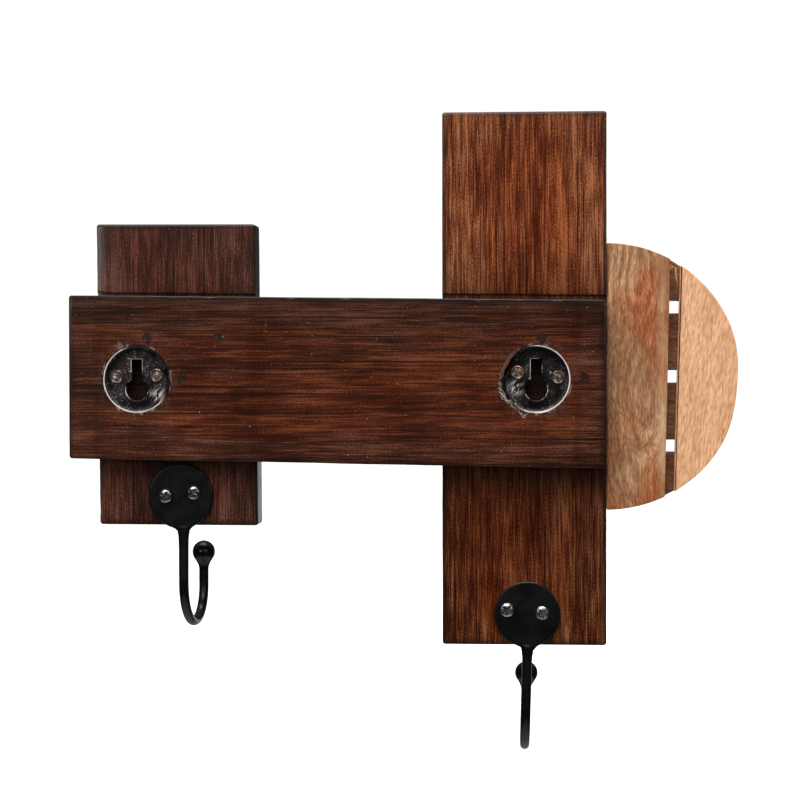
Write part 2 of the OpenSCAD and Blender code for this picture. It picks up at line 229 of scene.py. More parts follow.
def ring_faces(rows, cols, first, looped):
    """Faces between the rings of a grid; looped joins the last ring to the first, else both ends are
    closed."""
    i = np.arange(rows if looped else rows - 1)[:, None]
    j = np.arange(cols)
    here, there = i * cols, (i + 1) % rows * cols
    step = (j + 1) % cols
    faces = (first + np.stack([here + j, here + step, there + step, there + j], -1)).reshape(-1, 4).tolist()
    if not looped:
        faces.append(list(range(first, first + cols))[::-1])
        faces.append(list(range(first + (rows - 1) * cols, first + rows * cols)))
    return faces


def shell_object(name, shells, looped=False):
    """An object whose mesh is one or more closed shells; each shell is an array of rings by points by
    XYZ, in millimetres."""
    faces, first = [], 0
    for rings in shells:
        rows, cols = rings.shape[:2]
        faces += ring_faces(rows, cols, first, looped)
        first += rows * cols
    points = np.concatenate([rings.reshape(-1, 3) for rings in shells]) * MM
    mesh = bpy.data.meshes.new(name)
    mesh.from_pydata(points.tolist(), [], faces)
    shape = bmesh.new()
    shape.from_mesh(mesh)
    bmesh.ops.recalc_face_normals(shape, faces=shape.faces)
    shape.to_mesh(mesh)
    shape.free()
    piece = bpy.data.objects.new(name, mesh)
    bpy.context.scene.collection.objects.link(piece)
    return piece


def bulk(mesh):
    """A mesh's volume in cubic millimetres and its number of open edges."""
    shape = bmesh.new()
    shape.from_mesh(mesh)
    found = shape.calc_volume() / MM**3, sum(not edge.is_manifold for edge in shape.edges)
    shape.free()
    return found


def trial_cut(piece, saw, solver, nudge):
    """The piece less its saw's cutter, which is first moved by a nudge, or None if the result is open or
    has not lost volume."""
    cutter = saw.object
    saw.solver, cutter.location = solver, (nudge * MM, 0.0, 0.7 * nudge * MM)
    bpy.context.view_layer.update()
    graph = bpy.context.evaluated_depsgraph_get()
    made = bpy.data.meshes.new_from_object(piece.evaluated_get(graph), depsgraph=graph)
    before, (after, open_edges) = bulk(piece.data)[0], bulk(made)
    return made if 0.5 * before < after < before - 0.5 and not open_edges else None


def cut_out(piece, cutters):
    """Takes the cutters' solids out of a piece one by one. Faces that lie level with each other can spoil
    a cut, so the cutter is moved by a few hundredths of a millimetre until the cut comes out clean."""
    for cutter in cutters:
        saw = piece.modifiers.new(cutter.name, "BOOLEAN")
        saw.operation, saw.object = "DIFFERENCE", cutter
        trials = (trial_cut(piece, saw, solver, nudge) for nudge in NUDGES for solver in ("FAST", "EXACT"))
        made = next((mesh for mesh in trials if mesh is not None), None)
        if made is None:
            raise RuntimeError(f"{cutter.name} could not be cut out of {piece.name}")
        piece.modifiers.clear()
        piece.data = made
        bpy.data.objects.remove(cutter)


def settle(piece, finish, nodes, crease=38.0):
    """Shades a piece, gives it its finish and material slot, and hangs it on the frame in place of CAD
    nodes."""
    mesh = piece.data
    mesh.polygons.foreach_set("use_smooth", np.ones(len(mesh.polygons), bool))
    mesh.set_sharp_from_angle(angle=math.radians(crease))
    mesh.materials.clear()
    mesh.materials.append(finish)
    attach(piece, "root")
    if nodes:
        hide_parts(*nodes)
    return piece


def mitred(outline):
    """Outward normals of a closed outline, counter-clockwise in (x, z): the sum of both neighbouring
    edges' normals, made longer at corners so that an inset keeps its width."""
    edge = np.roll(outline, -1, 0) - outline
    normal = np.stack([edge[:, 1], -edge[:, 0]], 1) / np.linalg.norm(edge, axis=1)[:, None]
    before = np.roll(normal, 1, 0)
    return (normal + before) / (1 + (normal * before).sum(1))[:, None].clip(0.4)


def even_outline(outline, step):
    """The same closed outline with points at equal distances along it."""
    closed = np.vstack([outline, outline[:1]])
    run = np.concatenate([[0], np.cumsum(np.linalg.norm(np.diff(closed, axis=0), axis=1))])
    at = np.linspace(0, run[-1], int(run[-1] / step) + 1)[:-1]
    return np.stack([np.interp(at, run, closed[:, 0]), np.interp(at, run, closed[:, 1])], 1)


def slab(outline, back, front, arris, support=0.7, steps=4):
    """Rings of a plate sawn to an outline. Each ring is the outline moved inwards by r(1 - sin a), at
    r(1 - cos a) from a face, as a goes through a quarter turn; r is the arris, one number or one for
    each point."""
    turn = np.linspace(0, math.pi / 2, steps + 1)
    r = np.broadcast_to(np.asarray(arris, float), len(outline))
    inset = np.concatenate([[r + support], r * (1 - np.sin(turn))[:, None]])
    depth = np.concatenate([[0 * r], r * (1 - np.cos(turn))[:, None]])
    inset = np.concatenate([inset, inset[::-1]])
    y = np.concatenate([back - depth, front + depth[::-1]])
    flat = outline - mitred(outline) * inset[:, :, None]
    return np.stack([flat[..., 0], y, flat[..., 1]], -1)


def ripple(run, seed, count=9, falling=0.5):
    """A smooth random wave along a closed or open run from 0 to 1: sines of 1 to count turns, each
    weaker than the last."""
    draw = np.random.default_rng(seed)
    turns = np.arange(1, count + 1)[:, None]
    gain = draw.normal(0, 1, (count, 1)) / turns**falling
    return (
        gain * np.sin(TAU * turns * np.ravel(run) + draw.uniform(0, TAU, (count, 1)))
    ).sum(0).reshape(np.shape(run))


def worn_arris(along, base, seed, knocks=6):
    """Arris radius along a board's four edges: the base, a slow ripple, and some rounded-over knocks
    shaped like bell curves."""
    draw = np.random.default_rng(seed)
    run = (along - along.min()) / np.ptp(along)
    edges = []
    for edge in range(4):
        at = draw.uniform(along.min(), along.max(), (knocks, 1))
        wide = draw.uniform(0.8, 2.2, (knocks, 1))
        deep = draw.uniform(0.15, 0.7, (knocks, 1))
        bells = (deep * np.exp(-(((along - at) / wide) ** 2))).sum(0)
        edges.append(base * (1 + 0.07 * ripple(run, seed * 7 + edge, 14)) + bells)
    return np.stack(edges, 1).clip(0.3 * base, 2.2 * base)


def board_rings(low, high, front, back, arris, spans=(12, 3)):
    """Rings of a board, as (across, depth). Each ring is a rectangle from low to high and from front to
    back whose corners are quarter circles of the ring's own arris radii, with straight sides between
    them."""
    turn = np.linspace(0, math.pi / 2, 5)
    arcs = []
    for k, (across, depth, out, up) in enumerate(
        ((high, back, 1, 1), (low, back, -1, 1), (low, front, -1, -1), (high, front, 1, -1))
    ):
        r = arris[:, k, None]
        angle = turn + k * math.pi / 2
        arcs.append(
            np.stack(
                [
                    across[:, None] - out * r + r * np.cos(angle),
                    depth[:, None] - up * r + r * np.sin(angle),
                ],
                -1,
            )
        )
    parts = []
    for k in range(4):
        t = np.linspace(0, 1, spans[k % 2] + 1)[1:-1, None]
        start, end = arcs[k][:, -1:], arcs[(k + 1) % 4][:, :1]
        parts += [arcs[k], start + (end - start) * t]
    return np.concatenate(parts, 1)


def end_stations(corner, support=0.8):
    """How far the rings at a board's end lie from the end face, and how far they draw in: a quarter turn
    of the corner radius."""
    turn = np.linspace(0, math.pi / 2, 5)
    return np.concatenate([[0], corner * (1 - np.cos(turn))]), np.concatenate(
        [[corner + support], corner * (1 - np.sin(turn))]
    )


def tube(centres, across, radii, sides=32, swell=None):
    """Rings along a path that lies in one plane: centre + r (cos a * across + sin a * upright), where
    across is the plane's normal and upright is square to both it and the path. swell multiplies r and
    may differ round each ring."""
    along = np.gradient(centres, axis=0)
    along /= np.linalg.norm(along, axis=1)[:, None]
    upright = np.cross(along, across)
    a = np.linspace(0, TAU, sides, endpoint=False)
    r = radii[:, None] * (1 if swell is None else swell)
    r = np.broadcast_to(r, (len(radii), sides))[..., None]
    return centres[:, None] + r * (np.cos(a)[:, None] * across + np.sin(a)[:, None] * upright[:, None])


def turned(profile, at, sides=64, lobes=None):
    """Rings of a turned shape on an axis along Y: each profile point (r, y) goes round at the point at,
    as (x, z). lobes multiplies r."""
    a = np.linspace(0, TAU, sides, endpoint=False)
    r = np.array([p[0] for p in profile])[:, None] * (1 if lobes is None else lobes)
    r = np.broadcast_to(r, (len(profile), sides))
    y = np.broadcast_to(np.array([p[1] for p in profile])[:, None], r.shape)
    return np.stack([at[0] + r * np.cos(a), y, at[1] + r * np.sin(a)], -1)


# ---------------------------------------------------------------- finishes


def new_node(tree, kind, inputs, **options):
    """Adds a node to a tree, sets its options, and links or sets its inputs."""
    node = tree.nodes.new("ShaderNode" + kind)
    for key, value in options.items():
        setattr(node, key, value)
    for key, value in inputs.items():
        if isinstance(value, bpy.types.NodeSocket):
            tree.links.new(value, node.inputs[key])
        else:
            node.inputs[key].default_value = value
    return node


class Finish:
    """A material while its nodes are put together; each method adds nodes and gives back their output."""

    def __init__(self, name, **shader):
        self.material = bpy.data.materials.new(name)
        self.material.use_nodes = True
        self.tree = self.material.node_tree
        self.tree.nodes.clear()
        self.shader = self.add("BsdfPrincipled", shader)
        self.tree.links.new(self.shader.outputs[0], self.add("OutputMaterial", {}).inputs[0])
        self.place = self.add("TexCoord", {}).outputs["Object"]

    def add(self, kind, inputs, **options):
        """Adds a node to the material."""
        return new_node(self.tree, kind, inputs, **options)

    def math(self, operation, a, b=0.0, clamp=False):
        """One sum of two values."""
        return self.add("Math", {0: a, 1: b}, operation=operation, use_clamp=clamp).outputs[0]

    def fit(self, value, low, high, to_low=0.0, to_high=1.0):
        """Moves a value from one range to another with soft ends."""
        inputs = {"Value": value, "From Min": low, "From Max": high, "To Min": to_low, "To Max": to_high}
        return self.add("MapRange", inputs, interpolation_type="SMOOTHSTEP").outputs["Result"]

    def noise(self, scale, seed, detail=2.0, rough=0.5, bend=0.0, turn=(0, 0, 0), place=None):
        """Cloudy pattern; scale is its number of lumps per metre along X, Y and Z, after a turn about
        the origin."""
        place = place or self.place
        if any(turn):
            place = self.add("Mapping", {"Vector": place, "Rotation": turn}).outputs[0]
        inputs = {"Vector": place, "Location": (seed * 3.7, seed * 5.3, seed * 7.1), "Scale": scale}
        moved = self.add("Mapping", inputs).outputs[0]
        inputs = {"Vector": moved, "Scale": 1.0, "Detail": detail, "Roughness": rough, "Distortion": bend}
        return self.add("TexNoise", inputs).outputs[0]

    def sum(self, *terms):
        """0.5 plus each pattern's distance from 0.5 times its gain, from pairs of (pattern, gain)."""
        total = 0.5
        for pattern, gain in terms:
            centred = self.math("SUBTRACT", pattern, 0.5)
            total = self.add("Math", {0: centred, 1: gain, 2: total}, operation="MULTIPLY_ADD").outputs[0]
        return total

    def ramp(self, value, stops):
        """Colours along a value, from pairs of (position, colour)."""
        node = self.add("ValToRGB", {"Fac": value})
        marks = node.color_ramp.elements
        while len(marks) < len(stops):
            marks.new(0.5)
        for mark, (position, tint) in zip(marks, stops):
            mark.position, mark.color = position, tint
        return node.outputs[0]

    def shade_along(self, value, stops):
        """A grey level along a coordinate, from pairs of (millimetres, level)."""
        low, high = stops[0][0], stops[-1][0]
        inputs = {"Value": value, "From Min": low * MM, "From Max": high * MM}
        spread = self.add("MapRange", inputs).outputs["Result"]
        return self.ramp(spread, [((at - low) / (high - low), (v, v, v, 1.0)) for at, v in stops])

    def blend(self, share_of_b, a, b, kind="MIX"):
        """Mixes two colours."""
        inputs = {0: share_of_b, 6: a, 7: b}
        node = self.add("Mix", inputs, data_type="RGBA", blend_type=kind)
        return node.outputs[2]

    def axes(self):
        """The X, Y and Z of a point."""
        if not hasattr(self, "xyz"):
            self.xyz = self.add("SeparateXYZ", {0: self.place}).outputs
        return self.xyz

    def edge_distance(self, centre, half, lean=0.0):
        """Distance in metres to the nearest side of a rectangle in X and Z, whose level sides climb by
        lean along X."""
        x, _, z = self.axes()
        z = self.add("Math", {0: x, 1: -lean, 2: z}, operation="MULTIPLY_ADD").outputs[0]
        gaps = []
        for value, mid, reach in ((x, centre[0], half[0]), (z, centre[1], half[1])):
            away = self.math("ABSOLUTE", self.math("SUBTRACT", value, mid * MM))
            gaps.append(self.math("SUBTRACT", reach * MM, away))
        return self.math("MINIMUM", *gaps)

    def distance(self, x, z, place=None, tall=1.0):
        """Distance in metres from a point in the plane of the boards, with heights counted tall times."""
        away = self.add(
            "VectorMath", {0: place or self.place, 1: (x * MM, 0.0, z * MM)}, operation="SUBTRACT"
        ).outputs[0]
        flat = self.add("VectorMath", {0: away, 1: (1.0, 0.0, tall)}, operation="MULTIPLY").outputs[0]
        return self.add("VectorMath", {0: flat}, operation="LENGTH").outputs["Value"]

    def bump(self, height, strength, distance):
        """Raises the surface by a pattern; distance is in millimetres."""
        inputs = {"Height": height, "Strength": strength, "Distance": distance * MM}
        self.tree.links.new(self.add("Bump", inputs).outputs[0], self.shader.inputs["Normal"])

    def set(self, name, value):
        """Links a pattern to one of the shader's inputs."""
        self.tree.links.new(value, self.shader.inputs[name])


# Shares at which the tones of a wood lie along its pattern, from its darkest streaks to its palest
TONES = (0.11, 0.27, 0.395, 0.5, 0.605, 0.73, 0.89)


def stained_wood(
    name, grain, seed, tones, warm, centre, half, lean=0.0, shade_x=None, shade_z=None, hangers=()
):
    """Glossy dark stained wood. Streaks, bands and fibres are noise drawn out along the grain, and set
    where between the tones a point lies. Warm tints it in wide patches away from the edges. Stain has
    gathered near the edges, and round the hangers the wood is scuffed and raw; the floor of each
    recess is painted dark as painted shade. Levels of grey along X and Z multiply the colour; on the
    upright boards they are painted shade beside the rail."""
    look = sizes("rack_boards")
    f = Finish(
        name,
        **{
            "Coat Weight": look["lacquer"], "Coat Roughness": 0.16, "Coat IOR": 1.5,
            "Specular IOR Level": 0.05,
        },
    )

    def drawn(across, along):
        return (along, across, across) if grain == "X" else (across, across, along)

    band = f.noise(drawn(62, 5.0), seed, 3, 0.55, 0.3)
    streak = f.noise(drawn(560, 14.0), seed + 1, 4, 0.66, 0.3)
    fibre = f.noise(drawn(1700, 55), seed + 2, 1, 0.6)
    cloud = f.noise((26, 26, 26), seed + 3, 3, 0.55)
    pore = f.noise(drawn(1900, 900), seed + 4, 1, 0.5)
    line = f.noise(drawn(820, 5.0), seed + 5, 2, 0.5, 0.15)
    hue = f.noise(drawn(34, 10), seed + 9, 2, 0.5)
    mottle = f.noise(drawn(150, 32), seed + 10, 3, 0.6, 0.6)
    tone = f.sum((band, 0.8), (streak, 1.15), (mottle, 0.9), (fibre, 1.5), (cloud, 0.8), (pore, 1.2))
    wood = f.ramp(tone, [(at, screen(*c)) for at, c in zip(TONES, tones)])
    edge = f.edge_distance(centre, half, lean)
    warmth = f.fit(f.math("ADD", hue, f.fit(edge, 0.002, 0.030, -0.13, 0.14)), 0.42, 0.58)
    wood = f.blend(warmth, wood, f.blend(1.0, wood, warm, "MULTIPLY"))
    ink = f.fit(line, 0.60, 0.68, 0.0, 0.85)
    wood = f.blend(ink, wood, screen(30, 11, 6))
    wood = f.blend(f.fit(pore, 0.68, 0.78, 0.0, 0.5), wood, screen(24, 10, 6))
    x, y, z = f.axes()
    # shade_x and shade_z multiply the colour by levels of grey: on the upright boards these are painted shade
    # beside the rail, on the rail darker lines and stain
    for value, stops in ((x, shade_x), (z, shade_z)):
        if stops:
            wood = f.blend(1.0, wood, f.shade_along(value, stops), "MULTIPLY")
    ragged = f.math("ADD", edge, f.math("MULTIPLY", f.math("SUBTRACT", cloud, 0.5), 0.006))
    wood = f.blend(f.fit(ragged, -0.0005, 0.0045, 0.75, 0.0), wood, screen(20, 10, 9))
    speck = f.noise((900, 900, 900), seed + 6, 1, 0.4)
    near = f.fit(edge, 0.0, 0.004, 0.0, 0.012)
    scar = f.fit(f.math("ADD", speck, near), 0.79, 0.82)
    wood = f.blend(f.math("MULTIPLY", scar, 0.5), wood, screen(176, 160, 148))
    dull = f.fit(cloud, 0.35, 0.7, look["roughness"] - 0.06, look["roughness"] + 0.12)
    for at, reach, smeared in hangers:
        away = f.math("SUBTRACT", f.distance(*at), reach * MM)
        rub = f.noise((300, 300, 90), seed + 7, 3, 0.7)
        halo = f.math("MULTIPLY", f.fit(away, 0.0070, 0.0), f.fit(rub, 0.46, 0.68, 0.0, 0.5))
        wood = f.blend(halo, wood, screen(74, 62, 58))
        grit = f.math(
            "MULTIPLY", f.fit(away, 0.0060, 0.001),
            f.fit(f.noise((1300, 1300, 1300), seed + 8, 1, 0.5), 0.70, 0.76),
        )
        wood = f.blend(f.math("MULTIPLY", grit, 0.35), wood, screen(150, 138, 130))
        lip = f.math("MULTIPLY", f.fit(away, 0.0011, 0.0003), f.fit(rub, 0.50, 0.62, 0.0, 0.75))
        wood = f.blend(lip, wood, screen(140, 128, 120))
        smear = f.math(
            "MULTIPLY", f.fit(f.distance(at[0] + 9.5, at[1] + 17.5), 0.0034, 0.0012),
            f.fit(rub, 0.40, 0.60, 0.0, 0.75 * smeared),
        )
        wood = f.blend(smear, wood, screen(112, 100, 94))
        # Below the plate the recess floor is painted in dark tones as painted shade, and made duller
        inside = f.math("MULTIPLY", f.math("LESS_THAN", away, 0.0), f.math("LESS_THAN", y, -0.0027))
        wood = f.blend(inside, wood, f.ramp(streak, [(0.3, screen(14, 8, 5)), (0.7, screen(48, 28, 18))]))
        dull = f.math("ADD", dull, f.math("MULTIPLY", inside, 0.4), clamp=True)
    f.set("Base Color", wood)
    f.set("Roughness", dull)
    f.bump(f.sum((fibre, 0.8), (pore, -0.8), (streak, 0.8)), 0.25, 0.06)
    return f.material


def bare_wood(name, seed, tones, swirl, slant, fine, streaks=(), hearts=(), red=None):
    """Sanded mango wood. The grain is noise drawn out along Z; swirl bends it by that many millimetres
    with a wide noise, and slant leans it, in degrees. Short strokes and dark pores lie along it.
    Growth rings are a sine of the distance to the nearest heart, an (x, z), with heights drawn in to
    a quarter. Red tints the wood in wide patches."""
    f = Finish(name, **{"Specular IOR Level": 0.28})
    wide = f.add(
        "TexNoise", {"Vector": f.place, "Scale": 14.0, "Detail": 1.0, "Roughness": 0.4}
    ).outputs["Color"]
    centred = f.add("VectorMath", {0: wide, 1: (0.5, 0.5, 0.5)}, operation="SUBTRACT").outputs[0]
    bent = f.add(
        "VectorMath", {0: centred, 1: (swirl * MM * 4,) * 3, 2: f.place}, operation="MULTIPLY_ADD"
    ).outputs[0]
    turn = (0, math.radians(slant), 0)
    band = f.noise((75, 75, 10), seed, 3, 0.6, 0.4, turn, bent)
    streak = f.noise((330, 330, 26), seed + 1, 4, 0.65, 0.3, turn, bent)
    fibre = f.noise((1700, 1700, 300), seed + 2, 1, 0.6, 0.0, turn, bent)
    pore = f.noise((1700, 1700, 330), seed + 3, 1, 0.5, 0.0, turn, bent)
    cloud = f.noise((34, 34, 22), seed + 4, 3, 0.55, 0.5, turn, bent)
    stroke = f.noise((1350, 1350, 190), seed + 5, 1, 0.5, 0.2, turn, bent)
    parts = [
        (band, 1.15 * (1 - fine)), (streak, 1.2 - 0.7 * fine), (fibre, 0.7), (stroke, 1.9 * fine),
        (cloud, 0.9 - 0.45 * fine),
    ]
    if hearts:
        rings = [f.math("MULTIPLY", f.distance(*heart, bent, 0.25), TAU / (3.4 * MM)) for heart in hearts]
        wave = f.math("SINE", f.math("MINIMUM", *rings))
        parts.append((f.fit(wave, -1.0, 1.0), f.fit(cloud, 0.35, 0.65, 0.0, 0.26)))
    tone = f.sum(*parts)
    wood = f.ramp(tone, [(at, screen(*c)) for at, c in zip(TONES, tones)])
    if red:
        patch = f.noise((30, 30, 13), seed + 6, 2, 0.5, 0.4, turn, bent)
        wood = f.blend(f.fit(patch, 0.40, 0.60), wood, f.blend(1.0, wood, red, "MULTIPLY"))
    x, _, _ = f.axes()
    # Tints over bands of X; on the brown batten one is the dark band at the wing board, partly painted shade
    # of that joint
    for stops, tint in streaks:
        wood = f.blend(
            f.math("MULTIPLY", f.shade_along(x, stops), f.fit(cloud, 0.35, 0.65)), wood, screen(*tint)
        )
    wood = f.blend(f.fit(pore, 0.62, 0.74, 0.0, 0.45), wood, screen(*(0.62 * c for c in tones[1])))
    f.set("Base Color", wood)
    f.set("Roughness", f.fit(streak, 0.3, 0.7, 0.66, 0.52))
    f.bump(f.sum((fibre, 1.0), (pore, -1.2), (streak, 0.5)), 0.5, 0.15)
    return f.material


def worn_steel(name, base, dark, roughness, scratch, seed):
    """Bare steel: cloudy tarnish, fine scratches in two directions and a roughness that follows both."""
    f = Finish(name, Metallic=1.0)
    cloud = f.noise((150, 150, 150), seed, 4, 0.65)
    along = f.noise((2600, 900, 120), seed + 1, 2, 0.5, 0.0, (0, 0.5, 0))
    over = f.noise((160, 900, 2400), seed + 2, 2, 0.5, 0.0, (0, 0.3, 0))
    grit = f.noise((900, 900, 900), seed + 3, 2, 0.6)
    lines = f.math("MAXIMUM", f.fit(along, 0.62, 0.74), f.fit(over, 0.63, 0.75))
    patch = f.math("MULTIPLY", lines, f.fit(cloud, 0.45, 0.62))
    metal_tone = f.blend(f.fit(cloud, 0.35, 0.65), dark, base)
    f.set("Base Color", f.blend(f.math("MULTIPLY", patch, scratch), metal_tone, screen(214, 210, 204)))
    f.set(
        "Roughness",
        f.math(
            "ADD", f.fit(grit, 0.35, 0.65, roughness - 0.07, roughness + 0.1),
            f.math("MULTIPLY", patch, 0.12),
        ),
    )
    f.bump(f.sum((grit, 0.8), (cloud, 1.0), (along, 0.5)), 0.3, 0.1)
    return f.material


def black_coat():
    """Satin black coating: slightly uneven, with orange-peel bump and a few rubbed grey spots."""
    look = sizes("rack_hooks")
    f = Finish("satin_black_coat", **{"Specular IOR Level": 0.36})
    peel = f.noise((700, 700, 700), 41, 3, 0.5)
    cloud = f.noise((90, 90, 90), 43, 3, 0.6)
    grit = f.noise((2300, 2300, 2300), 44, 1, 0.5)
    tone = f.blend(f.fit(cloud, 0.35, 0.7), look["black"], screen(8, 8, 10))
    rubbed = f.fit(grit, 0.74, 0.80, 0.0, 0.3)
    f.set("Base Color", f.blend(rubbed, tone, screen(88, 88, 92)))
    f.set("Roughness", f.fit(cloud, 0.3, 0.7, 0.24, 0.34))
    f.bump(f.sum((peel, 1.0), (grit, 0.25)), 0.22, 0.12)
    return f.material


# Tones of each board from its darkest streaks to its palest, as screen values
WING_TONES = (
    (63, 21, 6), (82, 35, 13), (97, 47, 23), (110, 58, 32), (123, 69, 39), (138, 83, 51), (162, 104, 68)
)
RAIL_TONES = (
    (44, 22, 15), (55, 27, 19), (62, 33, 21), (71, 37, 25), (81, 44, 29), (92, 53, 36), (109, 68, 53)
)
TAIL_TONES = (
    (46, 23, 16), (56, 30, 22), (64, 37, 27), (73, 42, 31), (82, 48, 37), (95, 57, 47), (113, 74, 63)
)
INNER_TONES = (
    (113, 71, 39), (129, 85, 50), (140, 96, 61), (150, 106, 72), (160, 117, 81), (173, 131, 94),
    (198, 154, 113),
)
OUTER_TONES = (
    (186, 133, 91), (200, 146, 105), (209, 155, 114), (217, 163, 122), (223, 171, 129), (231, 178, 137),
    (241, 189, 149),
)
TORN_TONES = (
    (84, 70, 62), (104, 90, 80), (122, 108, 98), (140, 126, 116), (158, 146, 136), (176, 166, 156),
    (200, 190, 180),
)
SLAT_TONES = (
    (74, 42, 24), (88, 54, 32), (100, 63, 39), (110, 71, 46), (120, 80, 53), (134, 92, 64), (156, 112, 82)
)


# The camera's place in metres, and its directions to the right, up and backwards
CAMERA_PLACE = (-0.118622, 1.159338, 0.010775)
CAMERA_AXES = ((-0.99737, -0.07252, -0.00132), (0.0, -0.01813, 0.99984), (-0.07253, 0.99720, 0.01808))

# Levels of grey along and up the rail, as (millimetres, level): there are darker lines near both ends and
# at the tail board's inner edge, and the stain is thicker near the top
RAIL_SHADES_X = (
    (-143, 0.86), (-131, 0.92), (-128, 0.66), (-124, 0.95), (-60, 0.98), (38, 1.0),
    (44, 0.8), (48, 1.0), (120, 1.0), (128, 0.82), (131, 1.0), (143, 0.95),
)
RAIL_SHADES_Z = ((-46, 0.88), (-24, 0.98), (12, 1.0), (22, 0.80), (34, 0.60), (46, 0.54))

# Torn burrs along the broken rim, as (mm outside it, radius, first and last angle in degrees)
BURRS = ((0.15, 0.24, -77, 4), (-0.75, 0.17, -74, -22), (0.75, 0.12, -60, -12), (-1.5, 0.10, -66, -34))

# Splinters in the slit, as (x and z of the root, lean in degrees, length, radius)
SPLINTERS = (
    (-0.9, -1.4, -8, 10.5, 0.42),
    (1.3, 0.6, 14, 5.5, 0.3),
    (0.4, -0.4, 32, 4.0, 0.26),
    (2.4, 0.9, 62, 3.6, 0.24),
)


# ---------------------------------------------------------------- pieces


class Maker(bpy.types.Operator):
    """Common ground of the rack's operators."""

    bl_options = {"REGISTER", "UNDO"}

    def execute(self, context):
        self.make()
        return {"FINISHED"}


